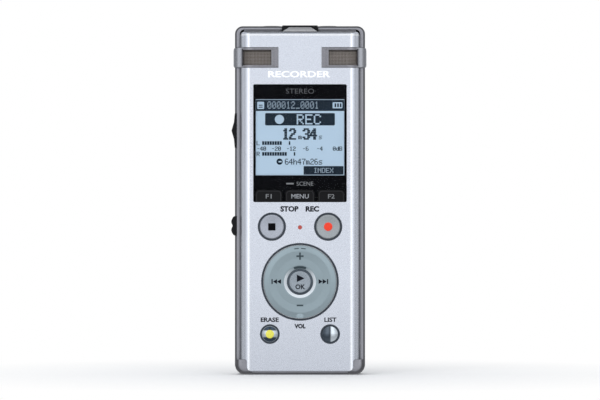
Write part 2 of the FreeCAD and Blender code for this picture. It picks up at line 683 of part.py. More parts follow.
def ok_collar():
    """The black surround that carries the centre key."""
    x, z, _ = NAV
    profile = [(0, -6.73), (3.28, -6.73), (3.28, FRONT + 0.2), (3.85, FRONT + 0.28), (3.85, -6.45), (4.4, -6.45),
               (4.4, -6.15), (0, -6.15)]
    return turned(x, z, profile)


def lamp_lens():
    x, z, r = LAMP
    return rod_y(x, z, r - 0.03, (FRONT - 0.02, -6.0))


def lamp_led():
    x, z, _ = LAMP
    return box((x - 0.5, x + 0.5), (-5.95, KEY_BOARD_Y[0] - 0.02), (z - 0.35, z + 0.35))


def key_mat():
    """The rubber sheet over the dome switches, with a small nub behind each key."""
    sheet = box((-14.8, 14.8), (MAT_FRONT, MAT_BACK), (5.0, 56.2))
    nubs = [rod_y(x, z, 0.8, (MAT_FRONT - 0.02, MAT_BACK)) for x, z in switch_places()]
    mat = joined([sheet] + nubs)
    return mat.cut(rod_y(LAMP[0], LAMP[1], 1.3, (-8, -4)))


def switch_places():
    reach = 8.2
    around = [(NAV[0], NAV[1] + reach), (NAV[0], NAV[1] - reach), (NAV[0] - reach, NAV[1]), (NAV[0] + reach, NAV[1])]
    single = [(p[0], p[1]) for p in (STOP, REC, NAV, ERASE, LIST)]
    soft = [((a + b) / 2, (WINDOW_Z[0] + F_KEY_TOP) / 2) for a, b in F_KEYS.values()]
    return around + single + soft


def dome_switches():
    """Snap domes, one behind each place that can be pressed."""
    domes = []
    for x, z in switch_places():
        foot = KEY_BOARD_Y[0] - 0.02
        profile = [(0, MAT_BACK + 0.02), (1.0, MAT_BACK + 0.06), (1.7, foot), (0, foot)]
        domes.append(turned(x, z, profile))
    return group(domes)


# ================================================================ boards and their components
def key_board():
    board = box((-15.2, 15.2), KEY_BOARD_Y, (4.6, 56.3))
    slots = [box((s * 15.2 - 0.8, s * 15.2 + 0.8), (-8, 0), (20, 24)) for s in (-1, 1)]
    return cut_all(board, slots)


def main_board():
    board = box((-16.0, 16.0), MAIN_BOARD_Y, (57.2, 101.5))
    cuts = [box(sorted((s * 11.5, s * 20)), (-8, 0), (92.4, 103)) for s in (-1, 1)]
    return cut_all(board, cuts)


def board_link():
    """The small connector cable that joins the key board to the main board."""
    leg = box((-13.0, -8.0), (KEY_BOARD_Y[1] + 0.03, KEY_BOARD_Y[1] + 0.15), (53.5, 56.9))
    step = box((-13.0, -8.0), (KEY_BOARD_Y[1] + 0.03, MAIN_BOARD_Y[1] + 0.15), (56.78, 56.9))
    far = box((-13.0, -8.0), (MAIN_BOARD_Y[1] + 0.03, MAIN_BOARD_Y[1] + 0.15), (56.78, 60.0))
    return joined([leg, step, far])


def processor_chip():
    return box((-9.0, 0.0), (MAIN_BOARD_Y[1] + 0.02, -2.1), (69.0, 78.0))


def memory_chip():
    return box((-11.5, 0.5), (MAIN_BOARD_Y[1] + 0.02, -2.1), (81.0, 91.0))


def shield_can():
    outer = box((-10.4, 1.4), (MAIN_BOARD_Y[1] + 0.02, -1.4), (67.6, 79.4))
    return outer.cut(box((-10.2, 1.2), (-5, -1.6), (67.8, 79.2)))


def usb_socket():
    """A micro-B style shell with its tongue, open towards the side cover."""
    shell = box((-18.2, -13.2), (-3.05, -0.45), (70.45, 77.95))
    mouth = box((-19, -13.6), (-2.8, -0.7), (70.75, 77.65))
    shell = shell.cut(mouth)
    tongue = box((-17.6, -13.4), (-1.5, -0.95), (72.2, 76.2))
    return joined([shell, tongue])


def card_socket():
    shell = box((3.6, 18.0), (MAIN_BOARD_Y[1] + 0.02, -1.6), (66.3, 79.0))
    return shell.cut(box((4.0, 19), (-2.9, -1.85), (66.7, 78.6)))


def memory_card():
    body = box((4.2, 18.6), (-2.8, -2.0), (67.0, 78.0))
    notch = box((4.0, 9.0), (-5, 0), (77.3, 79))
    return body.cut(notch)


def jack(side):
    """A 3.5 mm socket with its collar through the top wall."""
    x = side * JACK_X
    body = box((x - 2.7, x + 2.7), (JACK_Y - 2.7, JACK_Y + 2.7), JACK_Z)
    collar = rod_z(x, JACK_Y, JACK_COLLAR_R, (JACK_Z[1] - 0.1, HEIGHT + 0.15))
    bore = rod_z(x, JACK_Y, JACK_BORE_R, (93.0, HEIGHT + 1))
    return joined([body, collar]).cut(bore)


def centre_mic_housing():
    """The black piece in the middle of the top edge, with sound slots over its capsule."""
    body = box((-CENTRE_HALF_W, CENTRE_HALF_W), (CENTRE_FRONT, 1.2), (102.6, HEIGHT + 0.2))
    body = rounded(body, 0.35, lambda c, e: c.z > HEIGHT + 0.19)
    slots = [box((x - 0.3, x + 0.3), (-2.4, 0.2), (102, 110)) for x in (-3.0, -1.8, -0.6, 0.6, 1.8, 3.0)]
    return cut_all(body, slots)


def centre_mic_cap():
    """The silver slope in front of the centre microphone: wide at its foot, narrow at its top."""
    low, high = 104.26, 105.6
    slope = prism([V(-9, -7.0, low), V(-9, -6.0, high), V(-9, -5.35, high), V(-9, -5.35, low)], V(18, 0, 0))
    foot, top = 5.3, 3.3
    face = prism([V(-foot, -9, low), V(foot, -9, low), V(top, -9, high), V(-top, -9, high)], V(0, 9, 0))
    return slope.common(face)


def centre_mic_capsule():
    return rod_z(0, -0.6, 2.0, (100.9, 102.5))


# ================================================================ side controls
def door_recess(y, z, side):
    inner = HALF_W - DOOR_THICK - 0.1
    x = sorted((side * inner, side * 25))
    room = box(x, (y[0] - GAP, y[1] + GAP), (z[0] - GAP, z[1] + GAP))
    pin_room = rod_z(side * door_pin_x(), y[1] - door_r(), DOOR_PIN_R + 0.02, (z[0] - 0.9, z[1] + 0.9))
    return room.fuse(pin_room)


def door_r():
    return DOOR_THICK / 2


def door_pin_x():
    return HALF_W - DOOR_THICK / 2


def side_door(y, z, side):
    """A cover in the frame's side. Its back edge is round, and turns on a pin there."""
    px, py = side * door_pin_x(), y[1] - door_r()
    x = sorted((side * (HALF_W - DOOR_THICK), side * HALF_W))
    sheet = box(x, (y[0], py), z)
    sheet = rounded(sheet, 0.25, lambda c, e: abs(c.x - side * HALF_W) < 1e-3 and c.y < py - 0.1)
    door = joined([sheet, rod_z(px, py, door_r(), z)])
    return door.cut(rod_z(px, py, DOOR_PIN_R + 0.05, (0, 200)))


def frame_edge_room(back, z):
    """The frame's rounded left front edge, grown by the clearance, from its front back to a y."""
    middle = (-HALF_W + FRAME_EDGE_R, FRAME_FRONT + FRAME_EDGE_R)
    edge = rod_z(*middle, FRAME_EDGE_R + GAP, z)
    side = box((-HALF_W - GAP, middle[0]), (middle[1], back), z)
    return joined([edge, side]) if back > middle[1] else edge


def ribbed(outline, foot, z_middle, y):
    """A side grip. Its outline is (z from its middle, height over the frame's side) points. Its foot is at an x."""
    ridge = [(-HALF_W - height, dz) for dz, height in outline]
    points = [(foot, outline[0][0])] + ridge + [(foot, outline[-1][0])]
    return prism([V(x, y[0], z_middle + dz) for x, dz in points], V(0, y[1] - y[0], 0))


def usb_door():
    """The side cover, with a pointed thumb ridge that wraps round the frame's front edge."""
    door = side_door(USB_DOOR_Y, USB_DOOR_Z, -1)
    middle = sum(USB_DOOR_Z) / 2
    ridge = ribbed(USB_RIDGE, -HALF_W + 0.3, middle, (USB_DOOR_Y[0], USB_DOOR_Y[1] - 1.45))
    lip = ribbed(USB_RIDGE, LIP_X, middle, (LIP_FRONT, USB_DOOR_Y[0] + 0.1))
    lip = lip.cut(frame_edge_room(0.0, (0, HEIGHT)))
    return joined([door, ridge, lip])


def card_door():
    door = side_door(CARD_DOOR_Y, CARD_DOOR_Z, 1)
    nail = rod_z(HALF_W + 0.25, CARD_DOOR_Y[0] + 0.75, 0.5, (71.0, 74.2))
    return door.cut(nail)


def door_pin(y, z, side):
    return rod_z(side * door_pin_x(), y[1] - door_r(), DOOR_PIN_R, (z[0] - 0.85, z[1] + 0.85))


def power_knob():
    """The slide switch's knob: two round ribs with a groove between them, and a stem through the frame. It wraps
    round the frame's front edge."""
    z = SWITCH_Z
    knob = ribbed(SWITCH_RIBS, LIP_X, z, (LIP_FRONT, SWITCH_Y[1]))
    knob = knob.cut(frame_edge_room(SWITCH_Y[0], (0, HEIGHT)))
    stem = box((-19.5, -16.5), SWITCH_SLOT_Y, (z - STEM_HALF, z + STEM_HALF))
    return joined([knob, stem])


def slide_switch():
    """The electrical slide switch on the key board, with a slot for its lever."""
    body = box((-17.25, -14.8), (KEY_BOARD_Y[1] + 0.02, 0.6), (SWITCH_Z - 4.3, SWITCH_Z + 4.3))
    room = STEM_HALF + SWITCH_TRAVEL + 0.1
    slot = box((-19, -16.4), (SWITCH_SLOT_Y[0] - 0.1, SWITCH_SLOT_Y[1] + 0.1), (SWITCH_Z - room, SWITCH_Z + room))
    return body.cut(slot)


# ================================================================ back details
def stand_pin_y():
    return (STAND_Y[0] + STAND_Y[1]) / 2


def stand_pin_z():
    return STAND_Z[1] - (STAND_Y[1] - STAND_Y[0]) / 2


def stand():
    """The fold-out stand: a thin flap, round along its top edge, where its pin runs."""
    r = (STAND_Y[1] - STAND_Y[0]) / 2
    flap = plate((-STAND_HALF_W, STAND_HALF_W), (STAND_Z[0], stand_pin_z()), STAND_Y, 1.5, 0)
    flap = rounded(flap, 0.3, lambda c, e: on_plane_y(STAND_Y[1])(c, e) and c.z < stand_pin_z() - 1)
    barrel = rod_x(stand_pin_y(), stand_pin_z(), r, (-STAND_HALF_W, STAND_HALF_W))
    whole = joined([flap, barrel])
    window = plate((-5.2, 5.2), (65.5, 75.5), (STAND_Y[1] - 0.3, 10), 0.8, 0.8)
    return cut_all(whole, [window, rod_x(stand_pin_y(), stand_pin_z(), STAND_PIN_R + 0.05, (-20, 20))])


def speaker():
    """A small round speaker: a rim, a cone that dips, and a magnet behind."""
    y0, y1 = 3.6, 5.9
    profile = [(0, y0), (4.2, y0), (4.2, y0 + 0.9), (SPEAKER_R, y0 + 1.2), (SPEAKER_R, y1), (6.7, y1),
               (6.2, y1 - 0.35), (5.6, y1 - 0.3), (3.0, y1 - 0.9), (2.4, y1 - 0.75), (0, y1 - 0.55)]
    return turned(0, SPEAKER_Z, profile)


def speaker_cloth():
    return rod_y(0, SPEAKER_Z, 7.2, (5.95, BACK - REAR_SKIN - 0.02))


def hinge_pins():
    """The four steel pins: battery cover, stand and the two side covers."""
    lid = rod_x(LID_PIN[0], LID_PIN[1], LID_PIN_R, (-11.9, 11.9))
    stand_pin = rod_x(stand_pin_y(), stand_pin_z(), STAND_PIN_R, (-9.8, 9.8))
    return group([lid, stand_pin, door_pin(USB_DOOR_Y, USB_DOOR_Z, -1), door_pin(CARD_DOOR_Y, CARD_DOOR_Z, 1)])


def case_screws():
    """Four countersunk cross-head screws that hold the two shells on the frame."""
    screws = []
    for x, z in SCREWS:
        head_y = BACK - 1.65
        profile = [(0, 0.2), (0.78, 0.2), (0.78, head_y), (1.45, head_y), (1.45, head_y + 0.6), (1.2, head_y + 0.85),
                   (0, head_y + 0.9)]
        screw = turned(x, z, profile)
        cross = [box((x - 0.8, x + 0.8), (head_y + 0.45, 9), (z - 0.16, z + 0.16)),
                 box((x - 0.16, x + 0.16), (head_y + 0.45, 9), (z - 0.8, z + 0.8))]
        screws.append(cut_all(screw, cross))
    return group(screws)


def strap_bar():
    """The steel bar across the notch at the bottom corner, for a wrist strap."""
    return rod_x(STRAP_AT[0], STRAP_AT[1], STRAP_R, STRAP_X)


# ================================================================ every piece, by the name of its node
PIECES = {
    "front_cover": front_cover,
    "mid_frame": mid_frame,
    "rear_cover": rear_cover,
    "display_window": display_window,
    "window_mask": window_mask,
    "lcd_holder": lcd_holder,
    "lcd_panel": lcd_panel,
    "lcd_backlight": lcd_backlight,
    "lcd_flex": lcd_flex,
    "f1_key": lambda: f_key("f1"),
    "menu_key": lambda: f_key("menu"),
    "f2_key": lambda: f_key("f2"),
    "stop_rec_bezels": lambda: group([bezel(STOP, 3.72), bezel(REC, 3.72)]),
    "stop_button": lambda: round_key(STOP, 3.6, 0.2, 0.12),
    "rec_button": lambda: round_key(REC, 3.6, 0.2, 0.12),
    "nav_bezel": lambda: bezel(NAV, 11.22),
    "nav_ring": nav_ring,
    "nav_rocker": nav_rocker,
    "ok_button": ok_button,
    "ok_collar": ok_collar,
    "erase_list_bezels": lambda: group([bezel(ERASE, 2.42), bezel(LIST, 2.42)]),
    "erase_button": lambda: dome_key(ERASE, 2.32, 0.55),
    "list_button": lambda: dome_key(LIST, 2.32, 0.55),
    "record_lamp_lens": lamp_lens,
    "record_lamp_led": lamp_led,
    "key_mat": key_mat,
    "dome_switches": dome_switches,
    "key_board": key_board,
    "main_board": main_board,
    "board_link_cable": board_link,
    "board_chips": lambda: group([processor_chip(), memory_chip()]),
    "shield_can": shield_can,
    "mic_guard_right": mic_guard,
    "mic_guard_left": lambda: mirrored(mic_guard()),
    "mic_grille_right": mic_grille,
    "mic_grille_left": lambda: mirrored(mic_grille()),
    "mic_capsules": lambda: group([mic_capsule(), mirrored(mic_capsule()), centre_mic_capsule()]),
    "mic_boots": lambda: group([mic_boot(), mirrored(mic_boot())]),
    "centre_mic_housing": centre_mic_housing,
    "centre_mic_cap": centre_mic_cap,
    "mic_jack": lambda: jack(-1),
    "earphone_jack": lambda: jack(1),
    "usb_door": usb_door,
    "usb_socket": usb_socket,
    "card_door": card_door,
    "card_socket": card_socket,
    "memory_card": memory_card,
    "power_knob": power_knob,
    "slide_switch": slide_switch,
    "speaker": speaker,
    "speaker_cloth": speaker_cloth,
    "battery_lid": battery_lid,
    "battery": battery,
    "battery_tray": battery_tray,
    "battery_spring": battery_spring,
    "battery_plate": battery_plate,
    "stand": stand,
    "hinge_pins": hinge_pins,
    "case_screws": case_screws,
    "strap_bar": strap_bar,
}


def main():
    os.makedirs("parts", exist_ok=True)
    for name, build in PIECES.items():
        shape = build()
        if not shape.isValid() or not shape.Solids:
            print("not a valid solid:", name)
        shape.exportStep("parts/" + name + ".step")
    print(len(PIECES), "pieces")


main()
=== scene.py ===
"""Looks for the handheld voice recorder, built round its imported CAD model.

Metres, in the CAD model's frame: it stands on its bottom end, +Z runs up to the microphones, the display
looks along -Y, and +X is to the right of somebody looking at the display. Sizes on the recorder are written
in millimetres, and are turned into metres by MM.
"""

import bmesh
import bpy
import math
from mathutils import Matrix, Vector
from mathutils.bvhtree import BVHTree


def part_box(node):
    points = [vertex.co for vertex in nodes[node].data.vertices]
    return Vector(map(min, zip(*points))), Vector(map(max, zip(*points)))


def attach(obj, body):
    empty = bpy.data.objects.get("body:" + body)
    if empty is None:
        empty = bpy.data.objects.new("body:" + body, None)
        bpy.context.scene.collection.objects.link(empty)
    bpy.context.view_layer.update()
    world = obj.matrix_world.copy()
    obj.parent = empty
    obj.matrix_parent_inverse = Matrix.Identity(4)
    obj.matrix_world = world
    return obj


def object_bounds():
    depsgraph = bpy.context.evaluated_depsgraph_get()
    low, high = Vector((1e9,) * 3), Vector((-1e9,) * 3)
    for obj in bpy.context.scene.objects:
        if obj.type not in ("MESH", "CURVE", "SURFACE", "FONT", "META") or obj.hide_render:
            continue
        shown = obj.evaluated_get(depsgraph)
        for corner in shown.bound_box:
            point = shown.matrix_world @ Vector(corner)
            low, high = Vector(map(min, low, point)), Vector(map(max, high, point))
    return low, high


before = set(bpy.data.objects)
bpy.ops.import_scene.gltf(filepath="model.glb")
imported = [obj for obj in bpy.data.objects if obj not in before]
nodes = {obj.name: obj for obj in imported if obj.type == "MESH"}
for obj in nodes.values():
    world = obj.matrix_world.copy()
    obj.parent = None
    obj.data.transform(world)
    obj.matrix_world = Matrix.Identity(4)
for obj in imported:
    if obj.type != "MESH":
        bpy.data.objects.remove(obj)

bpy.context.view_layer.update()
cad_low, cad_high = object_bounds()

MM = 0.001
ROOT = "recorder"


def low_mm(node):
    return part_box(node)[0] / MM


def high_mm(node):
    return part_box(node)[1] / MM


def middle_mm(node):
    return (low_mm(node) + high_mm(node)) / 2


# ---------------------------------------------------------------- materials
DRIFT_MM = 14.0  # size of the slow changes of colour over a surface
GAP_REACH_MM = 0.9  # how far from a neighbour a surface counts as lying in a gap


class Shader:
    """A node material under construction. Inputs are set by name or number, from a value or another node's
    output."""

    def __init__(self, name, owner=None):
        self.material = owner or bpy.data.materials.new(name)
        self.material.use_nodes = True
        self.tree = self.material.node_tree
        self.tree.nodes.clear()
        self.place = self.add("ShaderNodeTexCoord").outputs["Generated" if owner else "Object"]

    def add(self, kind, settings=None, inputs=None):
        node = self.tree.nodes.new(kind)
        for key, value in (settings or {}).items():
            setattr(node, key, value)
        for key, value in (inputs or {}).items():
            self.feed(node.inputs[key], value)
        return node

    def feed(self, socket, value):
        if isinstance(value, bpy.types.NodeSocket):
            self.tree.links.new(value, socket)
        else:
            socket.default_value = value

    def math(self, operation, a, b=0.0):
        return self.add("ShaderNodeMath", {"operation": operation}, {0: a, 1: b}).outputs[0]

    def between(self, value, low, high, soft):
        """1 between two values and 0 outside them, with soft ends."""
        rise = self.steps(value, low - soft, low + soft)
        return self.math("MULTIPLY", rise, self.steps(value, high + soft, high - soft))

    def steps(self, value, low, high, out_low=0.0, out_high=1.0):
        inputs = {"Value": value, "From Min": low, "From Max": high, "To Min": out_low, "To Max": out_high}
        return self.add("ShaderNodeMapRange", None, inputs).outputs[0]

    def ramp(self, value, stops):
        """Follows straight lines through (position, level) points; positions and levels run from 0 to 1."""
        node = self.add("ShaderNodeValToRGB", None, {"Fac": value})
        elements = node.color_ramp.elements
        elements.remove(elements[-1])
        for index, (position, level) in enumerate(stops):
            element = elements[0] if index == 0 else elements.new(position)
            element.position = position
            element.color = (level, level, level, 1)
        return node.outputs["Color"]

    def mix(self, factor, a, b):
        return self.add("ShaderNodeMix", {"data_type": "RGBA"}, {0: factor, 6: a, 7: b}).outputs[2]

    def noise(self, size_mm, detail=2.0, stretch=(1, 1, 1)):
        """Noise whose blotches are about this size, longer along an axis with a stretch below 1."""
        mapped = self.add("ShaderNodeMapping", None, {"Vector": self.place, "Scale": stretch}).outputs[0]
        inputs = {"Vector": mapped, "Scale": 1 / (size_mm * MM), "Detail": detail}
        return self.add("ShaderNodeTexNoise", None, inputs).outputs[0]

    def axis(self, name):
        return self.add("ShaderNodeSeparateXYZ", None, {0: self.place}).outputs[name]

    def radius_mm(self, x_mm, z_mm):
        """Distance in the front plane from a point, in millimetres."""
        dx = self.math("SUBTRACT", self.axis("X"), x_mm * MM)
        dz = self.math("SUBTRACT", self.axis("Z"), z_mm * MM)
        square = self.math("ADD", self.math("MULTIPLY", dx, dx), self.math("MULTIPLY", dz, dz))
        return self.math("DIVIDE", self.math("SQRT", square), MM)

    def edges(self, radius_mm):
        """1 near convex and concave edges and 0 on flat ground."""
        soft = self.add("ShaderNodeBevel", {"samples": 6}, {"Radius": radius_mm * MM}).outputs[0]
        plain = self.add("ShaderNodeNewGeometry").outputs["Normal"]
        both = {0: soft, 1: plain}
        dot = self.add("ShaderNodeVectorMath", {"operation": "DOT_PRODUCT"}, both).outputs["Value"]
        return self.steps(self.math("SUBTRACT", 1.0, dot), 0.0, 1 / 6)

    def recess(self):
        """1 deep in a gap or a corner and 0 on open ground."""
        sky_seen = self.add("ShaderNodeAmbientOcclusion", {"samples": 8}, {"Distance": GAP_REACH_MM * MM})
        return self.steps(sky_seen.outputs["AO"], 0.75, 0.15)

    def rim_shade(self):
        """1 where the surface turns away from the viewer, where the studio's dark cards would show in it: the
        mask of a painted dark rim.
        """
        facing = self.add("ShaderNodeLayerWeight", None, {"Blend": 0.5}).outputs["Facing"]
        return self.steps(facing, 0.10, 0.55)

    def rounding(self):
        """1 where the surface is turned away from all three axes, as on a rounded edge, 0 on a flat side."""
        normal = self.add("ShaderNodeNewGeometry").outputs["Normal"]
        parts = self.add("ShaderNodeSeparateXYZ", None, {0: normal}).outputs
        sizes = [self.math("ABSOLUTE", part) for part in parts]
        most = self.math("MAXIMUM", self.math("MAXIMUM", sizes[0], sizes[1]), sizes[2])
        return self.steps(most, 0.97, 0.86)

    def bump(self, height, depth_mm):
        inputs = {"Height": height, "Distance": depth_mm * MM, "Strength": 1.0}
        return self.add("ShaderNodeBump", None, inputs).outputs[0]

    def done(self, **inputs):
        named = {key.replace("_", " "): value for key, value in inputs.items()}
        body = self.add("ShaderNodeBsdfPrincipled", None, named)
        self.add("ShaderNodeOutputMaterial", None, {"Surface": body.outputs[0]})
        return self.material


def shade(colour, factor):
    return tuple(min(1.0, channel * factor) for channel in colour[:3]) + (1.0,)


def finish(name, colour, metal=0.0, rough=0.4, vary=0.06, grain_mm=0.25, depth_mm=0.003, coat=0.0, wear=0.0,
           stretch=(1, 1, 1), speck=0.0, gleam=0.5, gap_shade=0.0, rim_shade=0.0, paint=None):
    """A finish with slow colour drift and a fine grain in its roughness and bump. It can have bright specks,
    paler worn edges, painted shade in its gaps, a painted dark rim where it turns from the viewer, and
    painted light and shade on its colour by paint(shader, colour)."""
    s = Shader(name)
    drift = s.noise(DRIFT_MM, 3.0)
    grain = s.noise(grain_mm, 2.0, stretch)
    base = s.mix(drift, shade(colour, 1 - vary), shade(colour, 1 + vary))
    if speck:
        flakes = s.steps(s.noise(grain_mm * 0.6, 1.0), 0.55, 0.75)
        base = s.mix(s.math("MULTIPLY", flakes, speck), base, shade(colour, 1.6))
    if wear:
        worn = s.math("MULTIPLY", s.edges(0.12), s.steps(s.noise(3.0, 4.0), 0.35, 0.7, 0.3, 1.0))
        base = s.mix(s.math("MULTIPLY", worn, wear), base, shade(colour, 1.9))
    if paint:
        base = paint(s, base)
    # Painted shade: the colour is darkened in gaps and corners, standing in for the shade that falls there.
    if gap_shade:
        amount = gap_shade(s) if callable(gap_shade) else gap_shade
        base = s.mix(s.math("MULTIPLY", s.recess(), amount), base, shade(colour, 0.04))
    # Painted reflection: a dark rim where the surface turns away from the viewer, standing for the studio's
    # dark cards.
    if rim_shade:
        base = s.mix(s.math("MULTIPLY", s.rim_shade(), rim_shade), base, shade(colour, 0.12))
    roughness = s.steps(grain, 0.25, 0.75, max(0.02, rough - 0.08), rough + 0.08)
    return s.done(Base_Color=base, Metallic=metal, Roughness=roughness, Coat_Weight=coat, Coat_Roughness=0.08,
                  Specular_IOR_Level=gleam, Normal=s.bump(grain, depth_mm))


def polished_finish(name, axis, low, high, inside, outside):
    """Polished metal with a painted reflection of a card: one colour between two reflected directions along
    an axis, and another beyond them."""
    s = Shader(name)
    mirrored = s.add("ShaderNodeTexCoord").outputs["Reflection"]
    way = s.add("ShaderNodeSeparateXYZ", None, {0: mirrored}).outputs[axis]
    base = s.mix(s.between(way, low, high, 0.07), outside, inside)
    base = s.mix(s.math("MULTIPLY", s.noise(2.0), 0.15), base, shade(outside, 0.8))
    return s.done(Base_Color=base, Metallic=1.0, Roughness=0.14, Normal=s.bump(s.noise(0.5), 0.0004))


def spun_finish(name, centre, colour, metal, rough, zones=(), fade=None):
    """Metal turned on a lathe round a key's centre. Each zone is (inner radius, outer radius, colour,
    roughness), and fades out between two heights above the centre, in millimetres."""
    s = Shader(name)
    r = s.radius_mm(*centre)
    lines = s.math("SINE", s.math("MULTIPLY", r, 2 * math.pi / 0.16))
    broken = s.math("MULTIPLY", lines, s.steps(s.noise(0.8, 2.0), 0.3, 0.7))
    base = s.mix(s.noise(6.0, 2.0), shade(colour, 0.96), shade(colour, 1.04))
    roughness = s.steps(broken, -1.0, 1.0, rough - 0.06, rough + 0.06)
    for inner, outer, zone_colour, zone_rough in zones:
        inside = s.between(r, inner, outer, 0.03)
        if fade:
            height = s.steps(s.axis("Z"), (centre[1] + fade[1]) * MM, (centre[1] + fade[0]) * MM)
            inside = s.math("MULTIPLY", inside, height)
        base = s.mix(inside, base, shade(zone_colour, 1.0))
        roughness = s.mix(inside, roughness, (zone_rough, zone_rough, zone_rough, 1))
    return s.done(Base_Color=base, Metallic=metal, Roughness=roughness, Normal=s.bump(broken, 0.0012))


def clear_finish(name, tint, straight, glancing):
    """A clear pane: it lets light straight through, and mirrors more where it is seen at a slant. Faint dust
    breaks the gloss."""
    s = Shader(name)
    dust = s.steps(s.noise(3.0, 2.0), 0.3, 0.8, 0.02, 0.05)
    through = s.add("ShaderNodeBsdfTransparent", None, {"Color": tint}).outputs[0]
    mirror = s.add("ShaderNodeBsdfGlossy", None, {"Color": (1, 1, 1, 1), "Roughness": dust}).outputs[0]
    facing = s.add("ShaderNodeLayerWeight", None, {"Blend": 0.5}).outputs["Facing"]
    share = s.steps(s.math("POWER", facing, 2.0), 0.0, 1.0, straight, glancing)
    mixed = s.add("ShaderNodeMixShader", None, {0: share, 1: through, 2: mirror}).outputs[0]
    s.add("ShaderNodeOutputMaterial", None, {"Surface": mixed})
    return s.material


def display_finish(name, top, bottom, glow):
    """The lit display: a soft fall-off from top to bottom and the faint lines between its dots."""
    s = Shader(name)
    low, high = low_mm("lcd_panel").z * MM, high_mm("lcd_panel").z * MM
    base = s.mix(s.steps(s.axis("Z"), low, high), bottom, top)
    base = s.mix(s.math("MULTIPLY", s.noise(7.0, 2.0), 0.12), base, (0.50, 0.55, 0.60, 1))
    pitch = 0.24 * MM
    lines = []
    for axis in ("X", "Z"):
        wave = s.math("SINE", s.math("MULTIPLY", s.axis(axis), 2 * math.pi / pitch))
        lines.append(s.steps(wave, 0.8, 1.0))
    grid = s.math("MULTIPLY", s.math("MAXIMUM", lines[0], lines[1]), 0.10)
    base = s.mix(grid, base, (0.20, 0.28, 0.38, 1))
    return s.done(Base_Color=base, Roughness=0.35, Emission_Color=base, Emission_Strength=glow)


def woven_finish(name, colour, pitch_mm, metal):
    s = Shader(name)
    waves = []
    for axis in ("X", "Z"):
        waves.append(s.math("SINE", s.math("MULTIPLY", s.axis(axis), 2 * math.pi / (pitch_mm * MM))))
    weave = s.math("MULTIPLY", waves[0], waves[1])
    base = s.mix(s.steps(weave, -1, 1), shade(colour, 0.55), shade(colour, 1.2))
    return s.done(Base_Color=base, Metallic=metal, Roughness=s.steps(weave, -1, 1, 0.65, 0.4),
                  Normal=s.bump(weave, pitch_mm * 0.2))


def board_finish(name):
    """Green solder mask with copper tracks under it and tinned pads here and there."""
    s = Shader(name)
    track = s.add("ShaderNodeTexBrick", {"offset": 0.35},
                  {"Vector": s.place, "Scale": 260.0, "Mortar Size": 0.015, "Color1": (0.02, 0.15, 0.08, 1),
                   "Color2": (0.03, 0.19, 0.10, 1), "Mortar": (0.05, 0.30, 0.14, 1)}).outputs[0]
    cells = s.add("ShaderNodeTexVoronoi", None, {"Vector": s.place, "Scale": 420.0}).outputs["Distance"]
    pads = s.steps(cells, 0.16, 0.12)
    base = s.mix(pads, track, (0.72, 0.70, 0.62, 1))
    metal = s.math("MULTIPLY", pads, 0.9)
    return s.done(Base_Color=base, Metallic=metal, Roughness=0.35, Normal=s.bump(pads, 0.02))


def battery_finish(name):
    """A plain printed sleeve: dark body, copper-coloured upper band, bare metal at both ends."""
    s = Shader(name)
    z = s.math("DIVIDE", s.axis("Z"), MM)
    low, high = low_mm("battery").z, high_mm("battery").z
    body = s.mix(s.noise(9.0), (0.015, 0.016, 0.02, 1), (0.03, 0.03, 0.036, 1))
    band = s.steps(z, high - 14.05, high - 13.95)
    base = s.mix(band, body, (0.62, 0.30, 0.12, 1))
    ends = s.math("MAXIMUM", s.steps(z, high - 1.35, high - 1.25), s.steps(z, low + 0.55, low + 0.45))
    base = s.mix(ends, base, (0.72, 0.72, 0.72, 1))
    metal = s.math("MAXIMUM", s.math("MULTIPLY", band, 0.8), ends)
    return s.done(Base_Color=base, Metallic=metal, Roughness=0.28, Coat_Weight=0.4,
                  Normal=s.bump(s.noise(0.5), 0.004))


def key_centre(node):
    at = middle_mm(node)
    return at.x, at.z


SILVER = (0.66, 0.69, 0.76)
GREY = (0.275, 0.275, 0.30)
DARK_METAL = (0.10, 0.102, 0.11)
BLACK = (0.012, 0.012, 0.013)
KEY_SILVER = (0.39, 0.415, 0.47)
REC_SILVER = (0.335, 0.36, 0.375)
RING_SILVER = (0.27, 0.335, 0.365)
CAP_SILVER = (0.68, 0.68, 0.70)

COVER_EDGE_MM = 2.9  # rounding of the cover's long edges
COVER_TURN_MM = high_mm("front_cover").x - COVER_EDGE_MM + 0.25  # where the painted highlight line runs down each side of the face
FACE_SHADE_MM = (30, 2)  # heights between which painted shade darkens the face towards its foot
POST_MM = 17.4  # the painted highlight on the guards' corner posts starts this far out


def cover_light_and_shade(s, base):
    """Painted light and shade: the face is painted a little darker towards its foot and the rounded sides
    darker outwards, and a painted highlight line runs where the face turns into them, and one along the top."""
    side_x = high_mm("front_cover").x
    top = high_mm("front_cover").z - 0.95
    out = s.math("ABSOLUTE", s.axis("X"))
    foot = s.steps(s.axis("Z"), FACE_SHADE_MM[0] * MM, FACE_SHADE_MM[1] * MM, 0.0, 0.8)
    base = s.mix(foot, base, shade(SILVER, 0.86))
    outward = s.steps(out, (COVER_TURN_MM + 0.5) * MM, side_x * MM, 0.0, 0.65)
    base = s.mix(outward, base, shade(SILVER, 0.45))
    side = s.between(out, (COVER_TURN_MM - 0.2) * MM, (COVER_TURN_MM + 0.2) * MM, 0.3 * MM)
    cross = s.between(s.axis("Z"), (top - 0.15) * MM, (top + 0.15) * MM, 0.2 * MM)
    return s.mix(s.math("MULTIPLY", s.math("MAXIMUM", side, cross), 0.85), base, (1.0, 1.0, 1.0, 1))


def top_gap_shade(s):
    """Painted shade in the gap over the cover's top edge, fading out towards its sides."""
    top = high_mm("front_cover").z
    side = high_mm("front_cover").x
    above = s.steps(s.axis("Z"), (top - 1.2) * MM, (top - 0.2) * MM)
    inward = s.steps(s.math("ABSOLUTE", s.axis("X")), (side - 0.8) * MM, (side - 2.4) * MM)
    return s.math("MULTIPLY", above, inward)


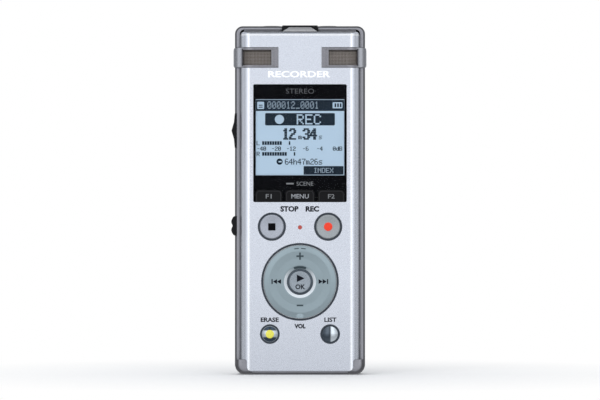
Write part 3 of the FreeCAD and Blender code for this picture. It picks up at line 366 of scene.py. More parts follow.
def painted_edge_reflection(s, base):
    """Painted reflection: the frame's rounded edges are painted dark, standing for the dark side of the
    studio that they mirror.
    """
    return s.mix(s.math("MULTIPLY", s.rounding(), 0.8), base, shade(GREY, 0.15))


def post_highlight(s, base):
    """Painted highlight: a guard's corner post is painted brighter than the rest of it, standing for the
    light its curve reflects.
    """
    out = s.math("ABSOLUTE", s.axis("X"))
    return s.mix(s.steps(out, (POST_MM - 0.5) * MM, (POST_MM + 0.6) * MM), base, (0.50, 0.51, 0.55, 1))


def cap_shade(s, base):
    """Painted shade: the centre microphone's cap darkens towards its top edge."""
    top = high_mm("centre_mic_cap").z
    dark = s.steps(s.axis("Z"), (top - 1.2) * MM, (top - 0.3) * MM, 0.0, 0.6)
    return s.mix(dark, base, shade(CAP_SILVER, 0.4))


silver = finish("silver_satin", SILVER, metal=0.75, rough=0.28, vary=0.03, grain_mm=0.14, depth_mm=0.0025,
                wear=0.25, speck=0.14, gap_shade=top_gap_shade, rim_shade=0.35, paint=cover_light_and_shade)
grey = finish("grey_satin", GREY, metal=0.6, rough=0.34, vary=0.05, grain_mm=0.18, depth_mm=0.002, coat=0.1,
              wear=0.2, gap_shade=top_gap_shade, rim_shade=0.5, paint=painted_edge_reflection)
gunmetal = finish("gunmetal_satin", DARK_METAL, metal=0.5, rough=0.42, vary=0.06, grain_mm=0.22,
                  depth_mm=0.006, wear=0.3, speck=0.12)
control_black = finish("control_black", (0.004, 0.004, 0.005), rough=0.5, vary=0.2, depth_mm=0.004,
                       gleam=0.15)
ring_black = finish("ring_black", (0.018, 0.028, 0.042), rough=0.35, vary=0.15, depth_mm=0.002)
collar_metal = finish("collar_metal", (0.055, 0.072, 0.09), metal=0.5, rough=0.32, vary=0.1, depth_mm=0.001)
black = finish("black_moulded", BLACK, rough=0.45, vary=0.2, grain_mm=0.2, depth_mm=0.006, wear=0.15)
gloss = finish("black_gloss", (0.006, 0.006, 0.007), rough=0.12, vary=0.2, grain_mm=0.6, depth_mm=0.0003,
               gleam=0.12)
print_black = finish("black_print", (0.003, 0.003, 0.004), rough=0.4, vary=0.2, grain_mm=0.4, depth_mm=0.0005,
                     gleam=0.03)
guard_grey = finish("guard_satin", (0.27, 0.268, 0.29), metal=0.9, rough=0.24, vary=0.04, grain_mm=0.2,
                    depth_mm=0.001, gap_shade=0.5, rim_shade=0.5, paint=post_highlight)
cap_satin = finish("cap_satin", CAP_SILVER, metal=0.7, rough=0.32, vary=0.03, grain_mm=0.14, depth_mm=0.0015,
                   paint=cap_shade)
white = finish("white_moulded", (0.72, 0.72, 0.70), rough=0.45, vary=0.03)
amber = finish("amber_film", (0.45, 0.22, 0.05), rough=0.3, vary=0.08, coat=0.5, stretch=(1, 1, 0.1))
steel = finish("brushed_steel", (0.55, 0.55, 0.57), metal=1.0, rough=0.3, vary=0.05, stretch=(1, 1, 0.06))
bright = finish("bright_steel", (0.62, 0.63, 0.66), metal=1.0, rough=0.16, vary=0.04, grain_mm=0.5,
                depth_mm=0.0008, wear=0.2)
# Colours of the painted reflections in the LIST and ERASE keys.
CHROME_LIGHT = (0.55, 0.60, 0.64, 1)
CHROME_DARK = (0.04, 0.055, 0.075, 1)
list_chrome = polished_finish("list_chrome", "X", -1.0, 0.06, CHROME_DARK, CHROME_LIGHT)
erase_chrome = polished_finish("erase_chrome", "Z", -0.36, 0.36, CHROME_LIGHT, CHROME_DARK)
brass = finish("plated_contact", (0.75, 0.55, 0.22), metal=1.0, rough=0.25, vary=0.05)
rubber = finish("dark_rubber", (0.05, 0.05, 0.055), rough=0.75, vary=0.1, depth_mm=0.012)
red_lens = finish("red_lens", (0.42, 0.045, 0.03), rough=0.18, vary=0.1, coat=0.8, depth_mm=0.001)


def mesh_edges(s, base):
    """The mesh sinks into shadow along the top of its opening and at both ends."""
    opening_low, opening_high = low_mm("mic_grille_right"), high_mm("mic_grille_right")
    out = s.math("ABSOLUTE", s.axis("X"))
    top = s.steps(s.axis("Z"), (opening_high.z - 1.5) * MM, (opening_high.z - 0.4) * MM)
    inner = s.steps(out, (opening_low.x + 2.3) * MM, (opening_low.x + 1.0) * MM)
    outer = s.steps(out, (opening_high.x - 3.4) * MM, (opening_high.x - 1.2) * MM)
    most = s.math("MAXIMUM", s.math("MAXIMUM", top, inner), s.math("MULTIPLY", outer, 0.3))
    return s.mix(s.math("MULTIPLY", most, 0.75), base, (0.05, 0.048, 0.048, 1))


mesh_metal = finish("mesh_wire", (0.47, 0.42, 0.385), metal=0.85, rough=0.42, vary=0.08, grain_mm=0.1,
                    paint=mesh_edges)
mesh_back = woven_finish("mesh_backing", (0.10, 0.092, 0.085), 0.45, 0.3)
cloth = woven_finish("speaker_cloth", (0.02, 0.02, 0.02), 0.35, 0.0)
pane = clear_finish("clear_pane", (0.95, 0.965, 0.98, 1), 0.001, 0.6)
PICTURE_TOP = (0.385, 0.485, 0.57, 1)
PICTURE_LOW = (0.37, 0.465, 0.545, 1)
lit = display_finish("lit_display", PICTURE_TOP, PICTURE_LOW, 0.35)

# The pale zone round the centre key is a painted highlight: the bright slope round it, faded out towards its
# top.
nav_spun = spun_finish("ring_spun", key_centre("nav_bezel"), RING_SILVER, 0.75, 0.36,
                       ((3.9, 4.85, (0.78, 0.83, 0.87), 0.48),), (1.6, 4.2))
stop_spun = spun_finish("stop_spun", key_centre("stop_button"), KEY_SILVER, 0.8, 0.30)
rec_spun = spun_finish("rec_spun", key_centre("rec_button"), REC_SILVER, 0.8, 0.30)
ok_spun = spun_finish("ok_spun", key_centre("ok_button"), (0.31, 0.35, 0.39), 0.8, 0.28)

FINISHES = {
    "front_cover": silver, "mid_frame": grey, "rear_cover": gunmetal, "display_window": pane,
    "window_mask": print_black, "lcd_holder": white, "lcd_panel": lit, "lcd_backlight": white,
    "lcd_flex": amber, "f1_key": gloss, "menu_key": gloss, "f2_key": gloss, "stop_rec_bezels": ring_black,
    "stop_button": stop_spun, "rec_button": rec_spun, "nav_bezel": ring_black, "nav_ring": nav_spun,
    "nav_rocker": steel, "ok_button": ok_spun, "ok_collar": collar_metal, "erase_list_bezels": ring_black,
    "erase_button": erase_chrome, "list_button": list_chrome, "record_lamp_lens": red_lens,
    "record_lamp_led": white, "key_mat": rubber, "dome_switches": steel,
    "key_board": board_finish("key_board_mask"), "main_board": board_finish("main_board_mask"),
    "board_link_cable": amber, "board_chips": black, "shield_can": steel, "mic_guard_right": guard_grey,
    "mic_guard_left": guard_grey, "mic_grille_right": mesh_back, "mic_grille_left": mesh_back,
    "mic_capsules": steel, "mic_boots": rubber, "centre_mic_housing": control_black,
    "centre_mic_cap": cap_satin, "mic_jack": black, "earphone_jack": black, "usb_door": control_black,
    "usb_socket": steel, "card_door": control_black, "card_socket": steel, "memory_card": gloss,
    "power_knob": control_black, "slide_switch": black, "speaker": black, "speaker_cloth": cloth,
    "battery_lid": gunmetal, "battery": battery_finish("battery_sleeve"), "battery_tray": black,
    "battery_spring": steel, "battery_plate": brass, "stand": gunmetal, "hinge_pins": steel,
    "case_screws": bright, "strap_bar": steel,
}
for name, node in nodes.items():
    for material_slot in node.material_slots:
        material_slot.material = FINISHES[name]


# ---------------------------------------------------------------- printed and inlaid pieces
def add_piece(name, mesh, material, body):
    piece = bpy.data.objects.new(name, mesh)
    bpy.context.scene.collection.objects.link(piece)
    mesh.materials.clear()
    mesh.materials.append(material)
    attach(piece, body)
    return piece


def curve_mesh(curve):
    holder = bpy.data.objects.new("outline", curve)
    bpy.context.scene.collection.objects.link(holder)
    graph = bpy.context.evaluated_depsgraph_get()
    mesh = bpy.data.meshes.new_from_object(holder.evaluated_get(graph))
    bpy.data.objects.remove(holder)
    return mesh


surface_trees = {}


def front_at(node, x_mm, z_mm):
    """Where a line along +Y first meets a CAD node, in millimetres."""
    if node not in surface_trees:
        mesh = nodes[node].data
        points = [v.co for v in mesh.vertices]
        surface_trees[node] = BVHTree.FromPolygons(points, [p.vertices for p in mesh.polygons])
    start = Vector((x_mm * MM, cad_low.y - 0.01, z_mm * MM))
    hit = surface_trees[node].ray_cast(start, Vector((0, 1, 0)))[0]
    return hit.y / MM if hit else None


def stand_up(mesh, ground, thick_mm, proud_mm=0.0):
    """Turns a mesh drawn in millimetres in XY, with unit thickness, to face -Y. It lies on a node, following
    its surface, or with its front at a given y."""
    for v in mesh.vertices:
        x, up, out = v.co
        if isinstance(ground, str):
            surface = front_at(ground, x, up)
            y = surface - proud_mm if out > 0 else surface - proud_mm + thick_mm
        else:
            y = ground + thick_mm * (0.5 - out)
        v.co = Vector((x, y, up)) * MM
    return mesh


def print_outlines(name, outlines, ground, material, body, thick_mm=0.03, proud_mm=0.02):
    """A flat print or inlay from closed outlines of (x, z) points in millimetres. An outline inside another
    is a hole."""
    curve = bpy.data.curves.new(name, "CURVE")
    curve.dimensions = "2D"
    curve.fill_mode = "BOTH"
    curve.extrude = 0.5
    for outline in outlines:
        spline = curve.splines.new("POLY")
        spline.points.add(len(outline) - 1)
        for point, (x, z) in zip(spline.points, outline):
            point.co = (x, z, 0, 1)
        spline.use_cyclic_u = True
    mesh = stand_up(curve_mesh(curve), ground, thick_mm, proud_mm)
    return add_piece(name, mesh, material, body)


def print_text(name, text, centre, size, ground, material, body, thick_mm=0.03, bold=0.0, proud_mm=0.02):
    """Plain lettering, fitted to a width and height in millimetres round a centre (x, z)."""
    curve = bpy.data.curves.new(name, "FONT")
    curve.body = text
    curve.extrude = 0.5
    curve.offset = bold
    curve.resolution_u = 3
    mesh = curve_mesh(curve)
    xs = [v.co.x for v in mesh.vertices]
    ys = [v.co.y for v in mesh.vertices]
    scale = size[0] / (max(xs) - min(xs)), size[1] / (max(ys) - min(ys))
    middle = (max(xs) + min(xs)) / 2, (max(ys) + min(ys)) / 2
    for v in mesh.vertices:
        v.co.x = centre[0] + (v.co.x - middle[0]) * scale[0]
        v.co.y = centre[1] + (v.co.y - middle[1]) * scale[1]
    return add_piece(name, stand_up(mesh, ground, thick_mm, proud_mm), material, body)


def box_outline(x, z, r=0.0):
    if not r:
        return [(x[0], z[0]), (x[1], z[0]), (x[1], z[1]), (x[0], z[1])]
    points = []
    for cx, cz, start in ((x[1] - r, z[0] + r, -90), (x[1] - r, z[1] - r, 0), (x[0] + r, z[1] - r, 90),
                          (x[0] + r, z[0] + r, 180)):
        points += arc_points(cx, cz, r, start, start + 90, 5)
    return points


def arc_points(cx, cz, r, start, end, count):
    angles = [math.radians(start + (end - start) * n / count) for n in range(count + 1)]
    return [(cx + r * math.cos(a), cz + r * math.sin(a)) for a in angles]


def circle_outline(cx, cz, r, count=40):
    return arc_points(cx, cz, r, 0, 360, count)[:-1]


LATHE_STEPS = 64


def lathe_piece(name, profile, centre, material, body):
    """Turns (radius, y) points in millimetres round the axis that runs along Y through a centre (x, z)."""
    mesh = bpy.data.meshes.new(name)
    bm = bmesh.new()
    rings = []
    for r, y in profile:
        angles = [2 * math.pi * n / LATHE_STEPS for n in range(LATHE_STEPS)] if r else [0.0]
        ring = []
        for a in angles:
            x, z = centre[0] + r * math.cos(a), centre[1] + r * math.sin(a)
            ring.append(bm.verts.new((x * MM, y * MM, z * MM)))
        rings.append(ring)
    for inner, outer in zip(rings, rings[1:]):
        for n in range(LATHE_STEPS):
            m = (n + 1) % LATHE_STEPS
            if len(inner) == 1:
                bm.faces.new((inner[0], outer[n], outer[m]))
            elif len(outer) == 1:
                bm.faces.new((inner[n], outer[0], inner[m]))
            else:
                bm.faces.new((inner[n], outer[n], outer[m], inner[m]))
    bmesh.ops.recalc_face_normals(bm, faces=bm.faces)
    bm.to_mesh(mesh)
    bm.free()
    mesh.shade_smooth()
    return add_piece(name, mesh, material, body)


def ink_finish(name, colour, rough, vary, depth_mm=0.002, **more):
    """A printed or filled mark, with the fine grain that all marks share."""
    return finish(name, colour, rough=rough, vary=vary, grain_mm=0.3, depth_mm=depth_mm, **more)


ink = ink_finish("dark_ink", (0.006, 0.007, 0.012), 0.6, 0.15, gleam=0.06)
pale_ink = ink_finish("pale_ink", (0.27, 0.285, 0.31), 0.45, 0.04)
dim_ink = ink_finish("dim_ink", (0.075, 0.078, 0.085), 0.45, 0.08, gleam=0.2)
grey_ink = ink_finish("grey_ink", (0.16, 0.168, 0.178), 0.45, 0.08)
# Painted highlight for the soft keys' edges.
key_edge_highlight = ink_finish("key_edge_highlight", (0.022, 0.023, 0.026), 0.45, 0.08, depth_mm=0.001, gleam=0.2)
slate_ink = ink_finish("slate_ink", (0.045, 0.065, 0.075), 0.5, 0.12, gleam=0.2)
white_ink = ink_finish("white_ink", (0.95, 0.96, 0.98), 0.4, 0.02)
red_inlay = ink_finish("red_inlay", (0.82, 0.05, 0.02), 0.35, 0.05, gleam=0.25)
yellow_inlay = ink_finish("yellow_inlay", (0.74, 0.69, 0.07), 0.25, 0.05, coat=0.5)
segment = finish("display_dark", (0.014, 0.024, 0.036), rough=0.5, vary=0.15, depth_mm=0.0005, gleam=0.1)
segment_pale = display_finish("display_pale", PICTURE_TOP, PICTURE_LOW, 0.25)
segment_dim = display_finish("display_dim", shade(PICTURE_TOP, 0.62), shade(PICTURE_LOW, 0.62), 0.12)

cover_y = low_mm("front_cover").y
PRINT = 0.025
on_cover = cover_y - PRINT

print_text("word_recorder", "RECORDER", (-0.2, 91.3), (19.0, 2.0), on_cover, white_ink, ROOT, bold=0.035)
for name, text, x, z, width, height, bold in (
    ("label_stop", "STOP", -3.2, 50.4, 5.5, 1.7, 0.045),
    ("label_rec", "REC", 3.75, 50.4, 4.1, 1.7, 0.05),
    ("label_erase", "ERASE", -9.2, 16.75, 5.5, 1.4, 0.035),
    ("label_list", "LIST", 9.25, 16.75, 3.7, 1.4, 0.03),
    ("label_vol", "VOL", 0.0, 14.8, 3.4, 1.4, 0.055),
):
    print_text(name, text, (x, z), (width, height), on_cover, ink, ROOT, bold=bold)

# Marks on the keys.
stop_x, stop_z = key_centre("stop_button")
rec_x, rec_z = key_centre("rec_button")
nav_x, nav_z = key_centre("nav_bezel")
print_outlines("mark_stop", [box_outline((stop_x - 1.1, stop_x + 1.1), (stop_z - 1.15, stop_z + 1.05), 0.12)],
               "stop_button", print_black, "stop_button", 0.1, 0.05)
rec_y = front_at("rec_button", rec_x, rec_z)
lathe_piece("mark_rec", [(0, rec_y - 0.16), (0.7, rec_y - 0.14), (1.2, rec_y - 0.06), (1.45, rec_y + 0.05),
                         (1.45, rec_y + 0.1), (0, rec_y + 0.1)], (rec_x, rec_z), red_inlay, "rec_button")


def key_mark(name, outlines, key, material=ink, thick_mm=0.06, proud_mm=0.025):
    """A print that follows a key's surface and rides on the key."""
    return print_outlines(name, outlines, key, material, key, thick_mm, proud_mm)


arm, half = 1.1, 0.26
plus = [(-half, -arm), (half, -arm), (half, -half), (arm, -half), (arm, half), (half, half), (half, arm),
        (-half, arm), (-half, half), (-arm, half), (-arm, -half), (-half, -half)]
key_mark("mark_plus", [[(nav_x + x, nav_z + 7.8 + z) for x, z in plus]], "nav_ring", slate_ink)
minus = box_outline((nav_x - 1.0, nav_x + 1.0), (nav_z - 7.4, nav_z - 6.9))
key_mark("mark_minus", [minus], "nav_ring", slate_ink)


def skip_outlines(x, z, way):
    """Two triangles and a bar that point along way (1 right, -1 left)."""
    tall, wide = 0.74, 1.22
    shapes = []
    for step in (-1.5, -0.28):
        shapes.append([(x + way * step, z - tall), (x + way * (step + wide), z), (x + way * step, z + tall)])
    bar = sorted((x + way * 1.05, x + way * 1.4))
    return shapes + [box_outline(bar, (z - tall, z + tall))]


key_mark("mark_back", skip_outlines(nav_x - 7.25, nav_z + 0.1, -1), "nav_ring")
key_mark("mark_forward", skip_outlines(nav_x + 7.15, nav_z + 0.1, 1), "nav_ring")


def ring_band(r_in, r_out, centre_deg, half_deg):
    """Part of a ring round the middle of the four-way ring."""
    outer = arc_points(nav_x, nav_z, r_out, centre_deg - half_deg, centre_deg + half_deg, 12)
    inner = arc_points(nav_x, nav_z, r_in, centre_deg + half_deg, centre_deg - half_deg, 12)
    return outer + inner


# Painted reflection: a dark band over the top of the bright slope round the centre key, where it would mirror
# something dark.
key_mark("ring_top_dark_reflection", [ring_band(4.1, 4.85, 90, 24)], "nav_ring", slate_ink, 0.08, 0.03)
dashes = [ring_band(10.02, 10.3, 90 + side * 6, 4) for side in (-1, 1)]
key_mark("mark_ring_top", dashes, "nav_ring", slate_ink)
play = [(-0.95, -0.05), (1.4, 1.08), (-0.95, 2.2)]
key_mark("mark_play", [[(nav_x + x, nav_z + z) for x, z in play]], "ok_button")
print_text("mark_ok", "OK", (nav_x + 0.1, nav_z - 1.5), (3.0, 1.5), "ok_button", ink, "ok_button",
           thick_mm=0.06, bold=0.03, proud_mm=0.025)

# The display's letters, as rows of dots.
DOTS = {
    "0": ".###./#...#/#..##/#.#.#/##..#/#...#/.###.",
    "1": "..#../.##../..#../..#../..#../..#../.###.",
    "2": ".###./#...#/....#/..##./.#.../#..../#####",
    "3": ".###./#...#/....#/..##./....#/#...#/.###.",
    "4": "...#./..##./.#.#./#..#./#####/...#./...#.",
    "6": ".###./#..../#..../####./#...#/#...#/.###.",
    "7": "#####/....#/...#./..#../..#../..#../..#..",
    "-": "...../...../...../.###./...../...../.....",
    "_": "...../...../...../...../...../...../#####",
    "B": "####./#...#/#...#/####./#...#/#...#/####.",
    "C": ".###./#...#/#..../#..../#..../#...#/.###.",
    "D": "####./#...#/#...#/#...#/#...#/#...#/####.",
    "E": "#####/#..../#..../####./#..../#..../#####",
    "I": ".###./..#../..#../..#../..#../..#../.###.",
    "L": "#..../#..../#..../#..../#..../#..../#####",
    "N": "#...#/##..#/#.#.#/#..##/#...#/#...#/#...#",
    "R": "####./#...#/#...#/####./#.#../#..#./#...#",
    "X": "#...#/#...#/.#.#./..#../.#.#./#...#/#...#",
    "d": "....#/....#/.##.#/#..##/#...#/#..##/.##.#",
    "h": "#..../#..../#.##./##..#/#...#/#...#/#...#",
    "m": "...../...../##.#./#.#.#/#.#.#/#.#.#/#.#.#",
    "s": "...../...../.####/#..../.###./....#/####.",
}
DOT_ROWS, DOT_COLUMNS = 7, 5
DOT_FILL = 0.94  # share of its cell that a dot fills
SEGMENT_MM = 0.015  # thickness of the display's segments


def dot_runs(row):
    """First and last column of each unbroken run of dots in a row."""
    runs = []
    for column in [n for n, dot in enumerate(row) if dot == "#"]:
        if runs and runs[-1][1] == column - 1:
            runs[-1][1] = column
        else:
            runs.append([column, column])
    return runs


def dot_text(name, text, centre, size, front_y, material, bold=0.0):
    """Lettering in the display's square dots, fitted to a width and height in millimetres round a centre
    (x, z). Bold widens every stroke by a share of a dot."""
    pitch = DOT_COLUMNS + 1
    step_x = size[0] / (pitch * len(text) - 1 + bold)
    step_z = size[1] / DOT_ROWS
    bm = bmesh.new()
    for place, letter in enumerate(text):
        for row, dots in enumerate(DOTS[letter].split("/")):
            for first, last in dot_runs(dots):
                wide = last - first + DOT_FILL + bold
                x = centre[0] - size[0] / 2 + (pitch * place + first + wide / 2) * step_x
                z = centre[1] + size[1] / 2 - (row + 0.5) * step_z
                at = Matrix.Translation((x, front_y + SEGMENT_MM / 2, z))
                scale = Matrix.Diagonal((wide * step_x, SEGMENT_MM, DOT_FILL * step_z, 1))
                bmesh.ops.create_cube(bm, size=1.0, matrix=Matrix.Scale(MM, 4) @ at @ scale)
    mesh = bpy.data.meshes.new(name)
    bm.to_mesh(mesh)
    bm.free()
    return add_piece(name, mesh, material, ROOT)


# The display's picture: dark segments lie on the panel, and pale ones lie over the dark bars.
panel_y = low_mm("lcd_panel").y - 0.02
over_y = panel_y - SEGMENT_MM


def lcd_shape(name, outlines, front_y=panel_y, material=segment):
    return print_outlines(name, outlines, front_y, material, ROOT, SEGMENT_MM)


lcd_shape("lcd_header", [box_outline((-13.4, 13.4), (80.15, 83.5))])
lcd_shape("lcd_banner", [box_outline((-10.6, 10.6), (75.75, 79.5), 0.35)])
lcd_shape("lcd_softkey", [box_outline((1.1, 13.2), (60.8, 63.4), 0.15)])
folder = [box_outline((-13.0, -10.9), (80.75, 82.95), 0.25)]
folder += [box_outline((-12.55, -11.35), (z, z + 0.3)) for z in (81.15, 81.75)]
lcd_shape("lcd_folder", folder, over_y, segment_pale)
dot_text("lcd_file", "000012_0001", (-2.1, 81.95), (15.6, 2.2), over_y, segment_dim)
battery_mark = [box_outline((9.9, 12.9), (80.95, 82.8), 0.3)]
battery_mark += [box_outline((x, x + 0.5), (81.3, 82.45)) for x in (10.5, 11.3, 12.1)]
lcd_shape("lcd_battery", battery_mark, over_y, segment_pale)
lcd_shape("lcd_rec_dot", [circle_outline(-6.25, 77.6, 1.4)], over_y, segment_pale)
dot_text("lcd_rec", "REC", (2.7, 77.6), (7.4, 3.1), over_y, segment_pale, 0.1)
dot_text("lcd_softkey_text", "INDEX", (7.15, 62.1), (6.0, 1.5), over_y, segment_dim, 0.35)
for name, text, x, z, width, height, bold in (
    ("lcd_minutes", "12", -3.3, 73.15, 4.3, 3.5, 1.5), ("lcd_m", "m", 0.0, 72.3, 1.1, 1.5, 0.5),
    ("lcd_seconds", "34", 3.0, 73.15, 4.5, 3.5, 1.5), ("lcd_s", "s", 6.2, 72.3, 1.0, 1.5, 0.3),
    ("lcd_left", "L", -12.7, 70.4, 1.0, 1.3, 0.5), ("lcd_right", "R", -12.7, 67.1, 1.0, 1.3, 0.5),
    ("lcd_remaining", "64h47m26s", 1.1, 64.75, 11.4, 1.8, 0.4), ("lcd_db", "0dB", 11.4, 68.7, 2.9, 1.3, 0.7),
    ("lcd_scale_0", "-40", -11.7, 68.7, 2.85, 1.3, 0.7), ("lcd_scale_1", "-20", -7.2, 68.7, 2.85, 1.3, 0.7),
    ("lcd_scale_2", "-12", -2.7, 68.7, 2.85, 1.3, 0.7), ("lcd_scale_3", "-6", 1.7, 68.7, 1.9, 1.3, 0.7),
    ("lcd_scale_4", "-4", 6.0, 68.7, 1.9, 1.3, 0.7),
):
    dot_text(name, text, (x, z), (width, height), panel_y, segment, bold)
for name, z, count, peak in (("lcd_level_left", 70.4, 8, -3.4), ("lcd_level_right", 67.1, 10, -1.9)):
    tall = z - 0.55, z + 0.55
    bars = [box_outline((-11.5 + 0.76 * n, -10.86 + 0.76 * n), tall) for n in range(count)]
    lcd_shape(name, bars + [box_outline((peak, peak + 0.45), tall)])
lcd_shape("lcd_store", [circle_outline(-6.2, 64.75, 0.95, 24), box_outline((-6.5, -5.6), (64.55, 64.95))])

# Prints on the black window and its keys, and a painted highlight along each soft key's edge.
WINDOW_PRINT = 0.012
lens_y = low_mm("display_window").y - WINDOW_PRINT
print_text("label_scene", "SCENE", (1.5, 58.05), (5.1, 1.25), lens_y, grey_ink, ROOT, WINDOW_PRINT)
scene_bar = box_outline((-4.2, -1.9), (57.85, 58.3), 0.1)
print_outlines("mark_scene", [scene_bar], lens_y, grey_ink, ROOT, WINDOW_PRINT)
print_text("label_stereo", "STEREO", (0.0, 86.15), (8.6, 1.5), lens_y, dim_ink, ROOT, WINDOW_PRINT)
FLANGE_RIM = 0.42  # a soft key's hidden flange reaches this far beyond what is seen of the key
LINE_INSET, LINE_WIDTH, LINE_TURN = FLANGE_RIM + 0.22, 0.13, 0.95
on_key = low_mm("menu_key").y - PRINT


def arch_band(low, high, inset, line, r):
    """A thin line up one side of a key, over the top with round corners, and down the other side."""
    band = []
    for gap, radius in ((inset, r), (inset + line, r - line)):
        x0, x1, top, foot = low.x + gap, high.x - gap, high.z - gap, low.z + inset
        path = [(x0, foot)] + arc_points(x0 + radius, top - radius, radius, 180, 90, 5)
        path += arc_points(x1 - radius, top - radius, radius, 90, 0, 5) + [(x1, foot)]
        band.append(path)
    return band[0] + band[1][::-1]


for name, text, node, width, print_ink in (
    ("label_f1", "F1", "f1_key", 1.8, grey_ink),
    ("label_menu", "MENU", "menu_key", 5.3, pale_ink),
    ("label_f2", "F2", "f2_key", 2.0, grey_ink),
):
    at = middle_mm(node)
    print_text(name, text, (at.x, at.z - 0.1), (width, 1.35), on_key, print_ink, node, bold=0.012)
    # Painted highlight: a faint pale line round each key's edge, standing for the light the edge catches.
    line = arch_band(low_mm(node), high_mm(node), LINE_INSET, LINE_WIDTH, LINE_TURN)
    print_outlines(node + "_line", [line], on_key, key_edge_highlight, node)


# ---------------------------------------------------------------- microphone mesh
MESH_TURN_R = 4.7
MESH_START = 1.0  # the wires start this far from the grille's inner end
MESH_ENDS = 0.5  # and end this far from its top and bottom
MESH_STEP = 0.11
WIRE_EVERY = 4  # steps from one wire to the next
WIRE_R = 0.085
WIRE_SIDES = 5
WEAVE_RISE = 0.07


def mesh_path(side, inset_mm):
    """Points and outward directions along a microphone's turn, from the front to the side."""
    box_low, box_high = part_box("mic_grille_right")
    front = box_low.y / MM + inset_mm
    outer = box_high.x / MM - inset_mm
    radius = MESH_TURN_R - inset_mm
    cx, cy = outer - radius, front + radius
    path = []
    x = box_low.x / MM + MESH_START
    while x < cx:
        path.append((x, front, 0, -1))
        x += MESH_STEP
    steps = int(radius * math.pi / 2 / MESH_STEP)
    for n in range(steps + 1):
        a = math.pi / 2 * n / steps
        path.append((cx + radius * math.sin(a), cy - radius * math.cos(a), math.sin(a), -math.cos(a)))
    y = cy + MESH_STEP
    while y < box_high.y / MM - 0.2:
        path.append((outer, y, 1, 0))
        y += MESH_STEP
    return [(side * x, y, side * nx, ny) for x, y, nx, ny in path]


def wire(bm, points):
    """A thin wire through a list of points in metres."""
    angles = [2 * math.pi * k / WIRE_SIDES for k in range(WIRE_SIDES)]
    rings = []
    for n, point in enumerate(points):
        ahead = points[min(n + 1, len(points) - 1)] - points[max(n - 1, 0)]
        turn = ahead.to_track_quat("Z", "Y")
        rings.append([bm.verts.new(point + turn @ (Vector((math.cos(a), math.sin(a), 0)) * (WIRE_R * MM)))
                      for a in angles])
    for first, second in zip(rings, rings[1:]):
        for k in range(WIRE_SIDES):
            m = (k + 1) % WIRE_SIDES
            bm.faces.new((first[k], first[m], second[m], second[k]))
    bm.faces.new(list(reversed(rings[0])))
    bm.faces.new(rings[-1])


def woven_mesh(name, side):
    """Wire cloth over the microphone: wires up and down woven through wires that follow the turn."""
    path = mesh_path(side, -WIRE_R)
    low, high = low_mm("mic_grille_right").z + MESH_ENDS, high_mm("mic_grille_right").z - MESH_ENDS
    rows = int((high - low) / (MESH_STEP * WIRE_EVERY))
    bm = bmesh.new()

    def at(index, z, lift):
        x, y, nx, ny = path[index]
        return Vector(((x + nx * lift), (y + ny * lift), z)) * MM

    for n in range(0, len(path), WIRE_EVERY):
        phase = math.pi * (n // WIRE_EVERY)
        points = [at(n, low + (high - low) * k / (rows * 2), WEAVE_RISE * math.cos(math.pi * k / 2 + phase))
                  for k in range(rows * 2 + 1)]
        wire(bm, points)
    for row in range(rows + 1):
        z = low + (high - low) * row / rows
        points = [at(n, z, -WEAVE_RISE * math.cos(math.pi * n / WIRE_EVERY + math.pi * row))
                  for n in range(0, len(path), WIRE_EVERY // 2)]
        wire(bm, points)
    bmesh.ops.recalc_face_normals(bm, faces=bm.faces)
    mesh = bpy.data.meshes.new(name)
    bm.to_mesh(mesh)
    bm.free()
    mesh.shade_smooth()
    return add_piece(name, mesh, mesh_metal, ROOT)


woven_mesh("mic_mesh_right", 1)
woven_mesh("mic_mesh_left", -1)

# ---------------------------------------------------------------- yellow inlay on the erase key
erase_x, erase_z = key_centre("erase_button")
DOME_R, DOME_RISE = 2.32, 0.55  # the key's domed top, which the inlay follows
INLAY_R, INLAY_RINGS = 1.25, 8
dome_sphere = (DOME_R ** 2 + DOME_RISE ** 2) / (2 * DOME_RISE)
dome_top = low_mm("erase_button").y
inlay = []
for n in range(INLAY_RINGS + 1):
    r = INLAY_R * n / INLAY_RINGS
    inlay.append((r, dome_top - 0.04 + dome_sphere - math.sqrt(dome_sphere ** 2 - r * r)))
inlay += [(1.28, inlay[-1][1] + 0.05), (1.2, inlay[-1][1] + 0.14), (0, inlay[-1][1] + 0.14)]
lathe_piece("mark_erase", inlay, (erase_x, erase_z), yellow_inlay, "erase_button")

# ---------------------------------------------------------------- floor, light and camera
middle = Vector((0, 0, (cad_low.z + cad_high.z) / 2))
FLOOR_R = 6.0
FADE_FROM, FADE_TO = 0.02, 0.13  # metres from the recorder over which the floor turns to plain white


def floor():
    mesh = bpy.data.meshes.new("floor")
    bm = bmesh.new()
    bmesh.ops.create_circle(bm, cap_ends=True, segments=96, radius=FLOOR_R)
    bm.to_mesh(mesh)
    bm.free()
    s = Shader("floor_pale")
    base = s.mix(s.noise(400.0, 2.0), (0.86, 0.865, 0.87, 1), (0.89, 0.895, 0.90, 1))
    near = s.add("ShaderNodeBsdfPrincipled", None, {"Base Color": base, "Roughness": 0.7}).outputs[0]
    far = s.add("ShaderNodeEmission", None, {"Color": (1, 1, 1, 1), "Strength": 1.0}).outputs[0]
    distance = s.add("ShaderNodeVectorMath", {"operation": "LENGTH"}, {0: s.place}).outputs["Value"]
    seen = s.add("ShaderNodeLightPath").outputs["Is Camera Ray"]
    share = s.math("MULTIPLY", s.steps(distance, FADE_FROM, FADE_TO), seen)
    mixed = s.add("ShaderNodeMixShader", None, {0: share, 1: near, 2: far}).outputs[0]
    s.add("ShaderNodeOutputMaterial", None, {"Surface": mixed})
    mesh.materials.append(s.material)
    ground = bpy.data.objects.new("floor", mesh)
    bpy.context.scene.collection.objects.link(ground)
    ground.location = (0, 0, cad_low.z)
    ground.visible_glossy = False


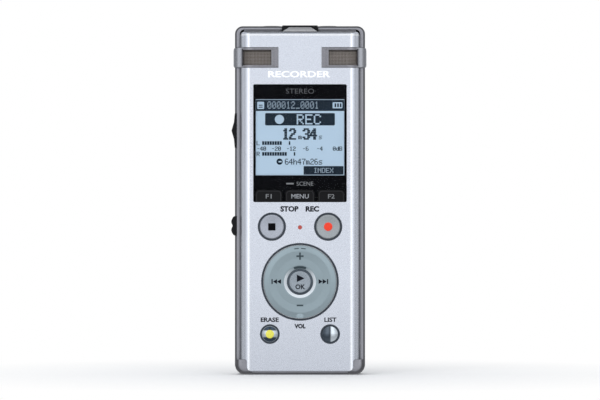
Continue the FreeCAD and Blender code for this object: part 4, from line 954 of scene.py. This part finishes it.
def area_light(name, place, size, power):
    """A square soft box that points at the recorder's middle."""
    lamp = bpy.data.lights.new(name, "AREA")
    lamp.size = size
    lamp.energy = power
    holder = bpy.data.objects.new(name, lamp)
    bpy.context.scene.collection.objects.link(holder)
    holder.location = place
    holder.rotation_euler = (middle - Vector(place)).to_track_quat("-Z", "Y").to_euler()
    holder.visible_camera = False
    holder.visible_glossy = False


WORLD_PEAK = 1.8
# Light by degrees from straight in front, then by height from straight down (-1) to straight up (1).
AROUND = ((0, 0.50), (5, 0.52), (10, 0.95), (24, 0.95), (36, 0.62), (55, 0.40), (76, 0.38), (85, 0.72),
          (101, 0.72), (108, 0.32), (150, 0.34), (165, 0.48), (180, 0.52))
UP_DOWN = ((-1.0, 1.0), (-0.3, 0.66), (-0.07, 0.70), (0.0, 0.92), (0.06, 1.02), (0.86, 1.0), (0.95, 0.12),
           (1.0, 0.08))
BELOW = 0.55  # level of the pale ground, which polished parts see instead of the floor
GROUND_FROM, GROUND_TO = -0.14, -0.36  # heights between which the surround turns into that ground


def sky():
    """The studio, as a level that follows the angle from straight in front and the height: soft boxes either
    side of the camera, dark cards beside and above the recorder, which outline its edges, and a pale
    surround behind."""
    world = bpy.data.worlds.new("studio")
    bpy.context.scene.world = world
    s = Shader("studio", world)
    x, y, z = (s.axis(name) for name in "XYZ")
    angle = s.math("ARCTAN2", s.math("ABSOLUTE", x), s.math("MULTIPLY", y, -1.0))
    around = s.ramp(s.math("DIVIDE", angle, math.pi), [(degrees / 180, level) for degrees, level in AROUND])
    height = s.ramp(s.steps(z, -1, 1), [((up + 1) / 2, level) for up, level in UP_DOWN])
    around = s.mix(s.steps(z, GROUND_FROM, GROUND_TO), around, (BELOW, BELOW, BELOW, 1))
    power = s.math("MULTIPLY", s.math("MULTIPLY", around, height), WORLD_PEAK)
    light = s.add("ShaderNodeBackground", None, {"Color": (0.95, 0.97, 1.0, 1), "Strength": power}).outputs[0]
    seen = s.add("ShaderNodeBackground", None, {"Color": (1, 1, 1, 1), "Strength": 1.0}).outputs[0]
    camera_ray = s.add("ShaderNodeLightPath").outputs["Is Camera Ray"]
    mixed = s.add("ShaderNodeMixShader", None, {0: camera_ray, 1: light, 2: seen}).outputs[0]
    s.add("ShaderNodeOutputWorld", None, {"Surface": mixed})


LENS, SENSOR = 260.0, 36.0
PICTURE_W, PICTURE_H = 600, 400
FILL = 0.875  # share of the picture's height that the recorder takes


def camera():
    """Straight in front of the recorder, and so far away that a long lens shows hardly any perspective."""
    tall = (cad_high.z - cad_low.z) / FILL
    distance = tall / (SENSOR * PICTURE_H / PICTURE_W) * LENS
    data = bpy.data.cameras.new("camera")
    data.lens = LENS
    data.sensor_width = SENSOR
    holder = bpy.data.objects.new("camera", data)
    bpy.context.scene.collection.objects.link(holder)
    holder.location = (0, cad_low.y - distance, middle.z)
    holder.rotation_euler = (math.radians(90), 0, 0)
    bpy.context.scene.camera = holder


floor()
sky()
area_light("key_light", (-0.5, -0.6, 0.6), 0.5, 1.6)
area_light("top_light", (0.0, 0.1, 0.8), 0.6, 1.2)
camera()
bpy.context.scene.view_settings.view_transform = "Standard"

bpy.context.view_layer.update()
